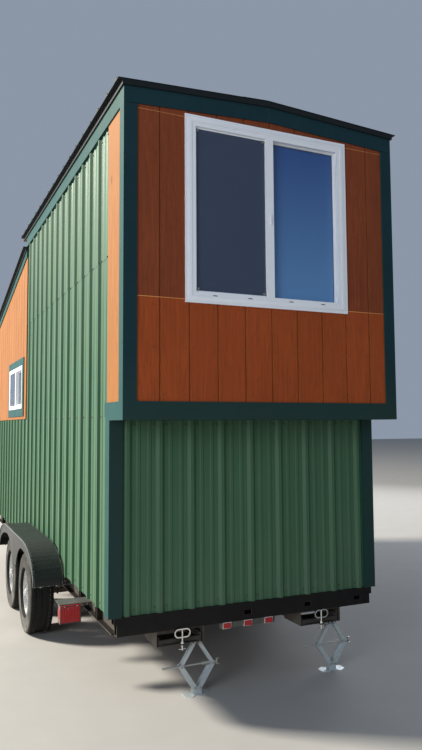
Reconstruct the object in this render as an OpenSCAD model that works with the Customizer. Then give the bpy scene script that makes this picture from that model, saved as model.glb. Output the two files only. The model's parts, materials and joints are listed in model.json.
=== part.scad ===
// Tiny house on a tandem-axle trailer, in millimetres.
// X runs across the house, Y runs from its rear to the tongue and Z is up from the ground.
// The origin is on the ground, under the middle of the whole length.

/* [House] */
// Width over the corner boards
body_w = 2095; // [1900:1:2300]
// Length of the trailer deck
deck_l = 6096; // [5700:1:7200]
// Overhang of the raised room behind the deck
overhang_l = 300; // [200:1:420]
// Length of the raised room
raised_l = 3800; // [3500:1:4100]
// Thickness of the framed walls
wall_t = 100; // [80:1:130]
// Thickness of corner, belt, fascia and casing boards
board_t = 25; // [22:1:30]
// Width of corner and casing boards
board_w = 90; // [75:1:105]

/* [Levels] */
// Underside of the trailer frame
frame_z = 483; // [460:1:510]
// Top of the trailer frame
deck_z = 601; // [580:1:630]
// Underside of the raised floor
belt_z = 1892; // [1800:1:1960]
// Height of the belt board round the raised floor
belt_h = 95; // [80:1:110]
// Underside of the fascia at the raised eaves
fascia_z = 3885; // [3800:1:3960]
// Height of the fascia on the raised room
fascia_h = 108; // [90:1:130]
// Rise of the raised roof for each unit of run
roof_slope_share = 0.05; // [0.03:0.01:0.07]
// Top of the lower roof where it meets the raised room
lower_roof_z = 3885; // [3860:1:3900]
// Fall of the lower roof for each unit of run
pitch_share = 0.2; // [0.15:0.01:0.22]
// Height of the fascia on the lower roof
lower_fascia_h = 80; // [60:1:110]
// Level where the wood siding starts on the front room
wood_z = 1916; // [1880:1:1940]

/* [Cladding] */
// Sheet thickness of the ribbed metal
sheet_t = 2; // [1.5:0.5:3]
// Spacing of the major ribs on the ends and roofs
rib_pitch = 229; // [200:1:305]
// Spacing of the major ribs on the sides
side_rib_pitch = 250; // [200:1:305]
// Height of the major ribs
rib_h = 19; // [15:1:20]
// Foot width of a major rib
rib_foot = 62; // [50:1:70]
// Crest width of a major rib
rib_crest = 22; // [15:1:30]
// Thickness of the wood siding
wood_t = 15; // [11:1:18]
// Spacing of the siding grooves
groove_pitch = 203.2; // [100:0.1:305]
// Width of a siding groove
groove_w = 10; // [6:1:14]
// Level of the lap between the metal courses
lap_z = 2980; // [2700:1:3300]

/* [Windows and door] */
// Width of the rear window over its flange
rear_win_w = 1260; // [1000:1:1400]
// Height of the rear window over its flange
rear_win_h = 1257; // [1000:1:1257]
// Sill level of the rear window
rear_win_z = 2629; // [2629:1:2700]
// Width of a side window's frame
side_win_w = 1040; // [800:1:1080]
// Height of a side window's frame
side_win_h = 500; // [400:1:600]
// Width of the door
door_w = 820; // [760:1:860]
// Height of the door
door_h = 2020; // [1900:1:2100]

/* [Running gear] */
// Outer diameter of the tyres
tyre_d = 696; // [660:1:720]
// Section width of the tyres
tyre_w = 203; // [185:1:215]
// Diameter of the rim's bead seat
rim_d = 381; // [355:1:406]
// Distance between the two axles
axle_gap = 922; // [880:1:960]
// Distance from the raised room's rear face to the middle of the axles
axles_from_rear = 2795; // [2700:1:3000]
// Reach of the fenders past the tyres
fender_reach = 36; // [25:1:40]
// Length of a fender
fender_l = 2230; // [2150:1:2260]
// Top of the fenders
fender_z = 820; // [800:1:850]
// Length of the tongue in front of the deck
tongue_l = 1220; // [1100:1:1500]
// Diameter of the hitch ball socket
socket_d = 60; // [51:0.5:61]

/* [Scissor jacks] */
// Distance between the pivots of an arm
arm_l = 180; // [176:1:190]
// Distance of a jack from the raised room's rear face
jack_from_rear = 420; // [400:1:440]
// Place of the left jack across the trailer
left_jack_x = -388; // [-420:1:-370]
// Place of the right jack across the trailer
right_jack_x = 715; // [700:1:730]

/* [Hidden] */
$fn = 48;

// Roof layers
drip = 42;
rear_drip = 15;
step_drip = 180;
roof_edge_h = 40;
roof_t = 100;
roof_sheet_t = 4;
roof_lip_t = 12;
joint_gap = 1;

// Main lines along the house
total_l = rear_drip + overhang_l + deck_l + tongue_l;
rear_y = -total_l / 2 + rear_drip;
deck_y = rear_y + overhang_l;
step_y = rear_y + raised_l;
front_y = deck_y + deck_l;
tip_y = front_y + tongue_l;
axles_y = rear_y + axles_from_rear;

// Main lines across the house and up
body_x = body_w / 2;
core_x = body_x - board_t;
eave_z = fascia_z + fascia_h;
ceiling_z = eave_z - roof_t;
ridge_rise = roof_slope_share * body_x;
roof_half = body_x + drip;
sheet_rise = roof_edge_h - roof_sheet_t;
lower_deck_depth = roof_edge_h + roof_t;
lower_edge_depth = roof_edge_h + lower_fascia_h;
floor_t = 20;
floor_z = deck_z + floor_t;
raised_z = belt_z + belt_h;
soffit_t = 22;
cut = 1;

// Metal and wood layout on the sides
metal_from_rear = 390;
belt_side_l = 417;
metal_y = rear_y + metal_from_rear;
first_rib = 640;
rib_y = rear_y + first_rib;
wood_shift = 10;
lap_h = 60;
minor_foot = 34;
minor_crest = 16;
minor_h = 4;
groove_d = 7;

// Trailer frame
rail_in = 38.5;
rail_x = body_x - rail_in;
rail_flange = 45;
rail_t = 6;
header_h = 48;
header_in = 19;
header_x = rail_x - header_in;
header_l = 60;
slot_w = 57;
slot_h = 32;
slot_x = [-46, 444, 877];
web_x = rail_x - rail_flange + rail_t;
cross_flange = 40;
cross_pitch = 610;
stake_w = 50;
stake_share = [0.06, 0.14, 0.8, 0.9];

// Tongue, coupler and tongue jack
beam_w = 60;
beam_wall = 6;
beam_spread = 560;
beam_tip = 48;
coupler_l = 230;
coupler_plate_t = 8;
socket_wall = 8;
socket_depth = 42;
socket_y = tip_y - socket_d / 2 - socket_wall;
tongue_jack_share = 0.55;
jack_tube_d = 58;
jack_leg_d = 46;
jack_tube_h = 640;
jack_foot_d = 150;
jack_foot_t = 12;
crank_l = 170;
crank_d = 14;
crank_cap_d = 64;

// Axles and springs
spindle_d = 38;
axle_d = 60;
spring_w = 45;
spring_l = 640;
spring_sag = 40;
leaf_t = 7;
leaf_count = 4;
leaf_steps = 12;
leaf_share = [1, 0.78, 0.56, 0.34];
eye_d = 34;
hanger_t = 6;
equalizer_h = 44;
pad_h = 12;
hub_z = tyre_d / 2;
spring_x = rail_x - rail_flange / 2;
spring_r = (spring_l * spring_l / 4 + spring_sag * spring_sag) / (2 * spring_sag);
spring_low_z = hub_z + axle_d / 2 + pad_h;
eye_z = spring_low_z + leaf_count * leaf_t + spring_sag;
spring_centre_z = spring_low_z + leaf_count * leaf_t + spring_r;
leaf_step = asin(spring_l / 2 / spring_r) / leaf_steps;

// Fenders
wheel_gap = 3.5;
track_w = body_w + 2 * (wheel_gap + tyre_w);
fender_span = track_w + 2 * fender_reach;
fender_t = 3;
fender_in_x = body_x + joint_gap / 2;
fender_foot_z = 530;
fender_bend_l = 600;
fender_bend_h = 250;
fender_lip = 45;
arch_gap = 42;
arch_r = tyre_d / 2 + arch_gap;
bead_h = 5;
bead_w = 14;
fender_arm_w = 50;
fender_arm_t = 8;

// Lights
tail_from_rear = 1024;
tail_w = 152;
tail_h = 126;
tail_d = 52;
tail_lens_d = 24;
tail_z = 409;
tail_out = 159.5;
tail_x = body_x + tail_out;
bracket_t = 6;
bar_x = -50;
lamp_pitch = 162;
lamp_w = 57;
lamp_h = 35;
lamp_d = 14;
bar_l = 430;

// Ramp pockets, ramps and their pins
ramp_x0 = 380;
ramp_x1 = 720;
ramp_z0 = 385;
ramp_t = 4;
pocket_l = 235;
ramp_l = 1500;
ramp_h = 50;
ramp_rail_t = 6;
ramp_rail_w = 30;
ramp_gap = 12;
rung_pitch = 250;
rung_w = 25;
hanger_y = deck_y + 2 * cross_pitch;
pin_x = 545;
pin_d = 12;
ring_w = 115;
ring_h = 60;
ring_d = 8;
ring_z = 460;
pin_foot_z = 350;
tab_l = 34;
tab_t = 6;
pin_gap = 0.3;
crossbar_l = 46;
crossbar_d = 8;

// Windows and door
win_border = 74;
win_stile = 58;
win_flange = 25;
win_flange_t = 12;
win_depth = 80;
glass_t = 6;
glass_in = 40;
sash_step = 14;
screen_t = 2;
screen_in = 8;
side_border = 45;
side_stile = 40;
side_win_from_step = 220;
side_win_z = 2040;
side_win_depth = 70;
door_t = 45;
door_in = 10;
door_panel_in = 8;
door_panel_share = [[0.18, 0.06, 0.82, 0.42], [0.18, 0.5, 0.82, 0.92]];
knob_d = 55;
knob_neck_d = 24;
knob_share = [0.92, 0.46];
side_win_y = step_y + side_win_from_step;
door_y = (step_y + front_y - door_w) / 2;
door_z = floor_z;

// Wheels
tyre_wall = 12;
tyre_shoulder = 28;
bead_seat_w = 140;
bead_gap = 0.2;
tread_groove_w = 8;
tread_groove_d = 7;
tread_share = [-0.24, 0, 0.24];
rim_t = 5;
rim_lip = 14;
disc_t = 6;
disc_in = 55;
hub_d = 108;
hub_cap_d = 70;
hub_cap_l = 46;
lug_count = 5;
lug_d = 20;
lug_l = 22;
lug_circle_d = 114.3;
vent_count = 8;
vent_d = 30;
vent_circle_d = 250;
bearing_gap = 0.3;
tyre_x = track_w / 2 - tyre_w / 2;

// Scissor jacks
head_drop = 40;
head_w = 70;
pivot_half = 18;
upper_w = 32;
upper_depth = 22;
lower_w = 46;
lower_depth = 30;
jack_sheet = 3;
head_inner = 37;
pin_r = 5;
pivot_gap = 0.3;
foot_pivot_z = 45;
foot_w = 196;
foot_waist = 60;
foot_l = 120;
foot_cheek_h = 14;
foot_inner = 30;
screw_d = 12;
screw_reach = 135;
yoke_reach = 46;
sleeve_d = 20;
sleeve_l = 62;
trunnion_d = 22;
trunnion_w = 25;
jack_y = rear_y + jack_from_rear;
head_pivot_z = ramp_z0 - head_drop;
arm_rise = (head_pivot_z - foot_pivot_z) / 2;
arm_angle = asin(arm_rise / arm_l);
arm_run = arm_l * cos(arm_angle);
side_pivot_z = foot_pivot_z + arm_rise;
side_pivot_x = pivot_half + arm_run;
yoke_x = side_pivot_x + yoke_reach - trunnion_d / 2;

// A box given by its low and high corners
module span(lo, hi) {
    translate(lo) cube(hi - lo);
}

// Shapes in the X-Z plane, drawn as seen from the rear and pushed forward from y by length
module along_y(y, length) {
    translate([0, y + length, 0]) rotate([90, 0, 0]) linear_extrude(length) children();
}

// Shapes in the Y-Z plane, pushed to +X from x by length
module along_x(x, length) {
    translate([x, 0, 0]) rotate([90, 0, 90]) linear_extrude(length) children();
}

// The same shape on both sides of the house
module both_sides() {
    children();
    mirror([1, 0, 0]) children();
}

// Height of the lower roof's top at a place along the house
function lower_top(y) = lower_roof_z - pitch_share * (y - step_y);

// Height of the raised room's gable, and a band between two heights over it
function gable_z(x) = eave_z + ridge_rise - roof_slope_share * abs(x);
module gable_band(x, rise0, rise1) {
    polygon([
        [-x, gable_z(x) + rise0], [0, gable_z(0) + rise0], [x, gable_z(x) + rise0],
        [x, gable_z(x) + rise1], [0, gable_z(0) + rise1], [-x, gable_z(x) + rise1]
    ]);
}

// A band under the lower roof, between two depths below its top
module under_lower_roof(y0, y1, depth0, depth1) {
    polygon([
        [y0, lower_top(y0) - depth0], [y1, lower_top(y1) - depth0],
        [y1, lower_top(y1) - depth1], [y0, lower_top(y0) - depth1]
    ]);
}

// Outline of ribbed sheet from u0 to u1, with a major rib at phase and two minor ribs between
function rib_points(u, foot, crest, h) = [
    [u - foot / 2, 0], [u - crest / 2, h], [u + crest / 2, h], [u + foot / 2, 0]
];
module roof_rib(u) {
    polygon(concat([[u - rib_foot / 2, -roof_sheet_t / 2]], rib_points(u, rib_foot, rib_crest, rib_h),
        [[u + rib_foot / 2, -roof_sheet_t / 2]]));
}
function sheet_line(u0, u1, phase, pitch) = let (
    first = floor((u0 - phase) / pitch),
    last = ceil((u1 - phase) / pitch)
) concat(
    [[u0, 0]],
    [for (i = [first : last], k = [0 : 2])
        let (u = phase + (i + k / 3) * pitch)
        if (u - rib_foot / 2 > u0 && u + rib_foot / 2 < u1)
        each (k == 0
            ? rib_points(u, rib_foot, rib_crest, rib_h - sheet_t)
            : rib_points(u, minor_foot, minor_crest, minor_h))],
    [[u1, 0]]
);
module ribbed_sheet(u0, u1, phase, pitch) {
    line = sheet_line(u0, u1, phase, pitch);
    last = len(line) - 1;
    polygon(concat(
        [for (p = line) [p[0], p[1] + sheet_t]],
        [for (i = [last : -1 : 0]) line[i]]
    ));
}

// Outline of grooved siding from u0 to u1, with a groove at phase
module grooved_board(u0, u1, phase) {
    first = ceil((u0 - phase + groove_w) / groove_pitch);
    last = floor((u1 - phase - groove_w) / groove_pitch);
    grooves = [for (i = [first : last]) phase + i * groove_pitch];
    polygon(concat(
        [[u0, 0], [u0, wood_t]],
        [for (u = grooves) each [
            [u - groove_w / 2, wood_t], [u - groove_w / 2, wood_t - groove_d],
            [u + groove_w / 2, wood_t - groove_d], [u + groove_w / 2, wood_t]
        ]],
        [[u1, wood_t], [u1, 0]]
    ));
}

// Cladding drawn as u along the wall and v outward, stood on the side, rear or front wall
module on_side(z0, z1) {
    translate([core_x, 0, z0]) rotate([0, 0, 90]) mirror([0, 1, 0]) linear_extrude(z1 - z0) children();
}
module on_rear(y, z0, z1) {
    translate([0, y, z0]) mirror([0, 1, 0]) linear_extrude(z1 - z0) children();
}
module on_front(y, z0, z1) {
    translate([0, y, z0]) linear_extrude(z1 - z0) children();
}

// Trailer frame

module channel_rail() {
    difference() {
        span([rail_x - rail_flange, deck_y + header_l, frame_z], [rail_x, front_y, deck_z]);
        span([rail_x - rail_flange + rail_t, deck_y + header_l - cut, frame_z + rail_t],
             [rail_x + cut, front_y + cut, deck_z - rail_t]);
    }
    for (share = stake_share)
        translate([rail_x - rail_flange + rail_t, deck_y + header_l + share * deck_l, frame_z + rail_t])
            difference() {
                cube([rail_flange - rail_t, stake_w, deck_z - frame_z - 2 * rail_t]);
                translate([rail_t, rail_t, -cut])
                    cube([rail_flange, stake_w - 2 * rail_t, deck_z - frame_z]);
            }
}

module side_rails() {
    color([0.14, 0.15, 0.15]) both_sides() channel_rail();
}

module cross_profile(y) {
    h = deck_z - frame_z;
    polygon([
        [y, frame_z], [y + cross_flange, frame_z], [y + cross_flange, frame_z + rail_t],
        [y + rail_t, frame_z + rail_t], [y + rail_t, frame_z + h - rail_t],
        [y + cross_flange, frame_z + h - rail_t], [y + cross_flange, frame_z + h], [y, frame_z + h]
    ]);
}

module cross_members() {
    inner_x = rail_x - rail_flange;
    count = floor((deck_l - header_l - cross_flange) / cross_pitch);
    color([0.14, 0.15, 0.15]) {
        difference() {
            union() {
                span([-rail_x, deck_y, deck_z - header_h], [rail_x, deck_y + header_l, deck_z]);
                span([-header_x, deck_y, frame_z], [header_x, deck_y + header_l, deck_z - header_h]);
            }
            span([-rail_x - cut, deck_y + rail_t, deck_z - header_h + rail_t],
                 [rail_x + cut, deck_y + header_l - rail_t, deck_z - rail_t]);
            span([-header_x - cut, deck_y + rail_t, frame_z + rail_t],
                 [header_x + cut, deck_y + header_l - rail_t, deck_z - header_h - rail_t]);
            for (x = slot_x)
                span([x - slot_w / 2, deck_y - cut, deck_z - header_h - slot_h],
                     [x + slot_w / 2, deck_y + rail_t + cut, deck_z - header_h]);
        }
        for (i = [1 : count])
            along_x(-inner_x, 2 * inner_x) cross_profile(deck_y + i * cross_pitch);
        along_x(-inner_x, 2 * inner_x) cross_profile(front_y - cross_flange);
    }
}

// Tongue, coupler and tongue jack

module tongue_beam() {
    y0 = front_y;
    y1 = tip_y - coupler_l;
    difference() {
        translate([0, 0, frame_z]) linear_extrude(deck_z - frame_z) polygon([
            [beam_spread, y0], [beam_spread + beam_w, y0], [beam_tip, y1], [beam_tip - beam_w / 2, y1]
        ]);
        translate([0, 0, frame_z + beam_wall]) linear_extrude(deck_z - frame_z - 2 * beam_wall) polygon([
            [beam_spread + beam_wall, y0 - cut], [beam_spread + beam_w - beam_wall, y0 - cut],
            [beam_tip - beam_wall, y1 + cut], [beam_tip - beam_w / 2 + beam_wall, y1 + cut]
        ]);
    }
}

module tongue() {
    color([0.14, 0.15, 0.15]) both_sides() tongue_beam();
}

module coupler() {
    y0 = tip_y - coupler_l;
    r = socket_d / 2 + socket_wall;
    side = beam_tip;
    color([0.5, 0.52, 0.54]) difference() {
        union() {
            translate([0, 0, frame_z]) linear_extrude(socket_depth + socket_wall) polygon([
                [-side, y0], [side, y0], [r, socket_y], [-r, socket_y]
            ]);
            translate([0, socket_y, frame_z]) cylinder(h = socket_depth + socket_wall, r = r);
            translate([0, 0, deck_z]) linear_extrude(coupler_plate_t) polygon([
                [-side, y0 - coupler_l / 2], [side, y0 - coupler_l / 2], [side, y0], [-side, y0]
            ]);
            span([-side, y0, frame_z], [side, y0 + coupler_plate_t, deck_z + coupler_plate_t]);
        }
        translate([0, socket_y, frame_z - cut]) cylinder(h = socket_depth + cut, d = socket_d);
    }
}

module tongue_jack() {
    y = front_y + tongue_jack_share * tongue_l;
    plate_x = beam_spread * (1 - tongue_jack_share);
    top_z = deck_z + jack_tube_h;
    color([0.45, 0.47, 0.48]) {
        translate([0, y, frame_z - jack_tube_d]) cylinder(h = top_z - frame_z + jack_tube_d, d = jack_tube_d);
        translate([0, y, jack_foot_t]) cylinder(h = frame_z, d = jack_leg_d);
        translate([0, y, 0]) cylinder(h = jack_foot_t, d = jack_foot_d);
        span([-plate_x, y - jack_tube_d, deck_z], [plate_x, y + jack_tube_d, deck_z + coupler_plate_t]);
        translate([0, y, top_z]) cylinder(h = crank_d, d = crank_cap_d);
        span([0, y - crank_d / 2, top_z], [crank_l, y + crank_d / 2, top_z + crank_d]);
        translate([crank_l, y, top_z]) cylinder(h = crank_l / 2, d = crank_d * 2);
    }
}

// Axles and springs

module axles() {
    color([0.16, 0.17, 0.17]) for (s = [-1, 1])
        translate([0, axles_y + s * axle_gap / 2, hub_z]) {
            reach = tyre_x - tyre_w / 2 - rim_lip;
            translate([-reach, 0, 0]) rotate([0, 90, 0]) cylinder(h = 2 * reach, d = axle_d);
            out = tyre_x + tyre_w / 2 - disc_in;
            translate([-out, 0, 0]) rotate([0, 90, 0]) cylinder(h = 2 * out, d = spindle_d);
        }
}

function leaf_arc(r, n) = [
    for (i = [-n : n]) [r * sin(i * leaf_step), spring_centre_z - r * cos(i * leaf_step)]
];
module leaf(k) {
    n = round(leaf_share[k] * leaf_steps);
    low = leaf_arc(spring_r + (k + 1) * leaf_t, n);
    polygon(concat(leaf_arc(spring_r + k * leaf_t, n), [for (i = [2 * n : -1 : 0]) low[i]]));
}

module leaf_pack() {
    along_x(-spring_w / 2, spring_w) {
        for (k = [0 : leaf_count - 1]) leaf(k);
        for (s = [-1, 1]) translate([s * spring_l / 2, eye_z]) circle(d = eye_d);
    }
    span([-spring_w / 2, -spring_w, hub_z + axle_d / 2 - pad_h],
         [spring_w / 2, spring_w, spring_low_z + pad_h]);
}

module hanger(y) {
    for (s = [-1, 1])
        translate([s * (spring_w / 2 + hanger_t / 2) - hanger_t / 2, y - eye_d, eye_z - eye_d / 2])
            cube([hanger_t, 2 * eye_d, frame_z - eye_z + eye_d / 2]);
}

module leaf_springs() {
    color([0.12, 0.12, 0.12]) both_sides() translate([spring_x, axles_y, 0]) {
        for (s = [-1, 1]) {
            translate([0, s * axle_gap / 2, 0]) difference() {
                leaf_pack();
                translate([-spring_w, 0, hub_z]) rotate([0, 90, 0])
                    cylinder(h = 2 * spring_w, d = axle_d + 2 * pin_gap);
            }
            hanger(s * (axle_gap + spring_l) / 2);
        }
        hanger(0);
        span([-spring_w / 2, -(axle_gap - spring_l) / 2, eye_z - equalizer_h / 2],
             [spring_w / 2, (axle_gap - spring_l) / 2, eye_z + equalizer_h / 2]);
    }
}

// Fenders

function arc(cy, cz, r, a0, a1, steps) = [
    for (i = [0 : steps]) let (a = a0 + (a1 - a0) * i / steps) [cy + r * cos(a), cz + r * sin(a)]
];
function bend(cy, cz, ry, rz, a0, a1, steps) = [
    for (i = [0 : steps]) let (a = a0 + (a1 - a0) * i / steps) [cy + ry * cos(a), cz + rz * sin(a)]
];
module fender_outline(inset, low) {
    y = fender_l / 2 - fender_bend_l;
    z = fender_z - fender_bend_h;
    l = fender_bend_l - inset;
    h = fender_bend_h - inset;
    polygon(concat(
        [[-y - l, low]], bend(-y, z, l, h, 180, 90, 12), bend(y, z, l, h, 90, 0, 12), [[y + l, low]]
    ));
}

// The opening round one wheel, a circle on the inner side and a long bend to the fender's end
module fender_arch() {
    low = fender_foot_z - cut;
    reach = (fender_l - axle_gap) / 2 - fender_lip;
    polygon(concat(
        bend(0, hub_z, arch_r, arch_r, 180, 90, 16),
        bend(0, low, reach, hub_z + arch_r - low, 90, 0, 16)
    ));
}

module fender() {
    out_x = fender_span / 2;
    skirt_x = out_x - bead_w / 2;
    arm_y = (fender_l - fender_arm_w) / 2;
    translate([0, axles_y, 0]) {
        difference() {
            along_x(fender_in_x, skirt_x - fender_in_x) fender_outline(0, fender_foot_z);
            along_x(fender_in_x - cut, skirt_x - fender_t - fender_in_x + cut)
                fender_outline(fender_t, fender_foot_z - cut);
            for (s = [0, 1]) mirror([0, s, 0]) translate([0, axle_gap / 2, 0])
                along_x(skirt_x - 2 * fender_t, 3 * fender_t) fender_arch();
        }
        difference() {
            along_x(out_x - bead_w, bead_w) fender_outline(-bead_h, fender_foot_z);
            along_x(out_x - bead_w - cut, bead_w + 2 * cut) fender_outline(fender_t, fender_foot_z - cut);
        }
        for (s = [-1, 1])
            span([web_x, s * arm_y - fender_arm_w / 2, fender_foot_z],
                 [skirt_x, s * arm_y + fender_arm_w / 2, fender_foot_z + fender_arm_t]);
    }
}

module fenders() {
    color([0.13, 0.14, 0.15]) both_sides() fender();
}

// Lights

module light_brackets() {
    y = rear_y + tail_from_rear;
    color([0.3, 0.34, 0.32]) {
        both_sides() {
            span([web_x, y, tail_z + tail_h], [tail_x, y + 3 * tail_d, tail_z + tail_h + bracket_t]);
            span([tail_x - tail_w, y, tail_z], [tail_x, y + tail_d, tail_z + tail_h]);
        }
        span([bar_x - bar_l / 2, deck_y, frame_z - lamp_h], [bar_x + bar_l / 2, deck_y + bracket_t, frame_z]);
    }
}

module red_lenses() {
    y = rear_y + tail_from_rear;
    color([0.7, 0.05, 0.07]) {
        both_sides() span([tail_x - tail_w, y - tail_lens_d, tail_z], [tail_x, y, tail_z + tail_h]);
        for (i = [-1 : 1])
            span([bar_x + i * lamp_pitch - lamp_w / 2, deck_y - lamp_d, frame_z - lamp_h],
                 [bar_x + i * lamp_pitch + lamp_w / 2, deck_y, frame_z]);
    }
}

// Ramp pockets, ramps and pins

module jack_head(x) {
    translate([x, jack_y, 0]) {
        span([-head_w / 2, -head_inner / 2 - jack_sheet, ramp_z0 - jack_sheet],
             [head_w / 2, head_inner / 2 + jack_sheet, ramp_z0]);
        for (s = [-1, 1]) {
            y = s * (head_inner + jack_sheet) / 2;
            translate([0, y + jack_sheet / 2, 0]) rotate([90, 0, 0]) linear_extrude(jack_sheet) union() {
                translate([-head_w / 2, head_pivot_z]) square([head_w, head_drop]);
                for (p = [-1, 1]) translate([p * pivot_half, head_pivot_z]) circle(r = 2 * pin_r);
            }
            translate([s * pivot_half, (head_inner + 2 * jack_sheet) / 2, head_pivot_z])
                rotate([90, 0, 0]) cylinder(h = head_inner + 2 * jack_sheet, r = pin_r);
        }
    }
}

module ramp_pockets() {
    color([0.16, 0.16, 0.17]) {
        both_sides() {
            difference() {
                span([ramp_x0, deck_y, ramp_z0], [ramp_x1, deck_y + pocket_l, frame_z]);
                span([ramp_x0 + ramp_t, deck_y - cut, ramp_z0 + ramp_t],
                     [ramp_x1 - ramp_t, deck_y + pocket_l + cut, frame_z - ramp_t]);
            }
            difference() {
                span([pin_x - tab_l / 2, deck_y - tab_l, ramp_z0],
                     [pin_x + tab_l / 2, deck_y, ramp_z0 + tab_t]);
                translate([pin_x, deck_y - tab_l / 2, ramp_z0 - cut])
                    cylinder(h = tab_t + 2 * cut, d = pin_d + 2 * pin_gap);
            }
            difference() {
                span([ramp_x0, hanger_y, ramp_z0],
                     [ramp_x1, hanger_y + stake_w, frame_z]);
                span([ramp_x0 + ramp_t, hanger_y - cut, ramp_z0 + ramp_t],
                     [ramp_x1 - ramp_t, hanger_y + stake_w + cut, frame_z + cut]);
            }
        }
        jack_head(left_jack_x);
        jack_head(right_jack_x);
    }
}

module stored_ramps() {
    x0 = ramp_x0 + ramp_t + ramp_gap;
    x1 = ramp_x1 - ramp_t - ramp_gap;
    y0 = deck_y + ramp_gap;
    z0 = ramp_z0 + ramp_t;
    count = floor((ramp_l - rung_w) / rung_pitch);
    color([0.2, 0.2, 0.2]) both_sides() {
        span([x0, y0, z0], [x0 + ramp_rail_t, y0 + ramp_l, z0 + ramp_h]);
        span([x0, y0, z0], [x0 + ramp_rail_w, y0 + ramp_l, z0 + ramp_rail_t]);
        span([x1 - ramp_rail_t, y0, z0], [x1, y0 + ramp_l, z0 + ramp_h]);
        span([x1 - ramp_rail_w, y0, z0], [x1, y0 + ramp_l, z0 + ramp_rail_t]);
        for (i = [0 : count])
            span([x0, y0 + i * rung_pitch, z0 + ramp_rail_t],
                 [x1, y0 + i * rung_pitch + rung_w, z0 + ramp_rail_t + rung_w]);
    }
}

module ring_outline(inset) {
    w = ring_w - ring_h;
    h = ring_h - 2 * inset;
    for (s = [-1, 1]) translate([s * w / 2, 0]) circle(d = h);
    translate([-w / 2, -h / 2]) square([w, h]);
}

module ramp_pin() {
    translate([pin_x, deck_y - tab_l / 2, 0]) {
        translate([0, ring_d / 2, ring_z]) rotate([90, 0, 0]) linear_extrude(ring_d) difference() {
            ring_outline(0);
            ring_outline(ring_d);
        }
        translate([0, 0, pin_foot_z]) cylinder(h = ring_z - pin_foot_z + ring_h / 2 - ring_d / 2, d = pin_d);
        translate([0, 0, ramp_z0 + tab_t + pin_gap]) cylinder(h = pin_d, d = 2 * pin_d);
        translate([-crossbar_l / 2, 0, pin_foot_z + crossbar_d]) rotate([0, 90, 0])
            cylinder(h = crossbar_l, d = crossbar_d);
    }
}

module ramp_pins() {
    color([0.78, 0.78, 0.74]) both_sides() ramp_pin();
}

// Floors, walls and roofs

module floor_deck() {
    color([0.72, 0.6, 0.42])
        span([-core_x, deck_y + board_t, deck_z], [core_x, front_y - board_t, floor_z]);
}

module raised_floor() {
    color([0.72, 0.6, 0.42])
        span([-core_x, rear_y + board_t, belt_z], [core_x, step_y, raised_z]);
}

module rear_wall_lower() {
    y = deck_y + board_t;
    color([0.7, 0.62, 0.5]) span([-core_x, y, floor_z], [core_x, y + wall_t, belt_z]);
}

module rear_wall_upper() {
    y = rear_y + board_t;
    w = rear_win_w - 2 * win_flange;
    h = rear_win_h - 2 * win_flange;
    color([0.7, 0.62, 0.5]) difference() {
        span([-core_x, y, raised_z], [core_x, y + wall_t, ceiling_z]);
        span([-w / 2, y - cut, rear_win_z + win_flange],
             [w / 2, y + wall_t + cut, rear_win_z + win_flange + h]);
    }
}

module lower_side_walls() {
    color([0.7, 0.62, 0.5]) both_sides()
        span([core_x - wall_t, deck_y + board_t + wall_t, floor_z], [core_x, step_y, belt_z]);
}

module upper_side_walls() {
    color([0.7, 0.62, 0.5]) both_sides()
        span([core_x - wall_t, rear_y + board_t + wall_t, raised_z], [core_x, step_y, ceiling_z]);
}

module front_side_wall() {
    y1 = front_y - board_t - wall_t;
    along_x(core_x - wall_t, wall_t) polygon([
        [step_y, floor_z], [y1, floor_z],
        [y1, lower_top(y1) - lower_deck_depth], [step_y, lower_top(step_y) - lower_deck_depth]
    ]);
}

module front_side_walls() {
    inner = core_x - wall_t - cut;
    color([0.7, 0.62, 0.5]) {
        mirror([1, 0, 0]) difference() {
            front_side_wall();
            span([inner, side_win_y, side_win_z],
                 [core_x + cut, side_win_y + side_win_w, side_win_z + side_win_h]);
        }
        difference() {
            front_side_wall();
            span([inner, door_y, door_z - cut], [core_x + cut, door_y + door_w, door_z + door_h]);
        }
    }
}

module front_wall() {
    y = front_y - board_t;
    color([0.7, 0.62, 0.5]) along_x(-core_x, 2 * core_x) polygon([
        [y - wall_t, floor_z], [y, floor_z], [y, lower_top(y) - lower_deck_depth],
        [y - wall_t, lower_top(y - wall_t) - lower_deck_depth]
    ]);
}

// The raised roof's deck, the beam under its front edge and the boards that carry its overhang
module upper_roof() {
    side_z = gable_z(core_x) + sheet_rise;
    inner_x = core_x - wall_t;
    color([0.7, 0.62, 0.5]) {
        along_y(rear_y + board_t, raised_l - board_t) polygon([
            [-core_x, ceiling_z], [core_x, ceiling_z], [core_x, side_z],
            [0, gable_z(0) + sheet_rise], [-core_x, side_z]
        ]);
        span([-inner_x, step_y - wall_t, lower_roof_z - lower_deck_depth], [inner_x, step_y, ceiling_z]);
        along_y(step_y, step_drip) gable_band(body_x, 0, sheet_rise);
    }
}

module upper_roof_metal() {
    l = raised_l + step_drip;
    sheet_y = rear_y - rear_drip;
    sheet_l = l + 2 * rear_drip;
    color([0.1, 0.11, 0.12]) {
        difference() {
            union() {
                along_y(sheet_y, sheet_l) gable_band(roof_half, sheet_rise, roof_edge_h);
                along_y(rear_y - roof_lip_t, l + 2 * roof_lip_t)
                    gable_band(body_x + roof_lip_t, 0, roof_edge_h);
            }
            along_y(rear_y, l) gable_band(body_x, -roof_edge_h, sheet_rise);
        }
        both_sides() intersection() {
            translate([0, 0, gable_z(0) + roof_edge_h]) rotate([0, atan(roof_slope_share), 0])
                along_x(-roof_t, roof_half + 2 * roof_t)
                    for (y = [sheet_y + rib_foot : rib_pitch : sheet_y + sheet_l - rib_foot / 2])
                        roof_rib(y);
            span([0, sheet_y, eave_z], [roof_half, sheet_y + sheet_l, gable_z(0) + roof_t]);
        }
    }
}

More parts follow.
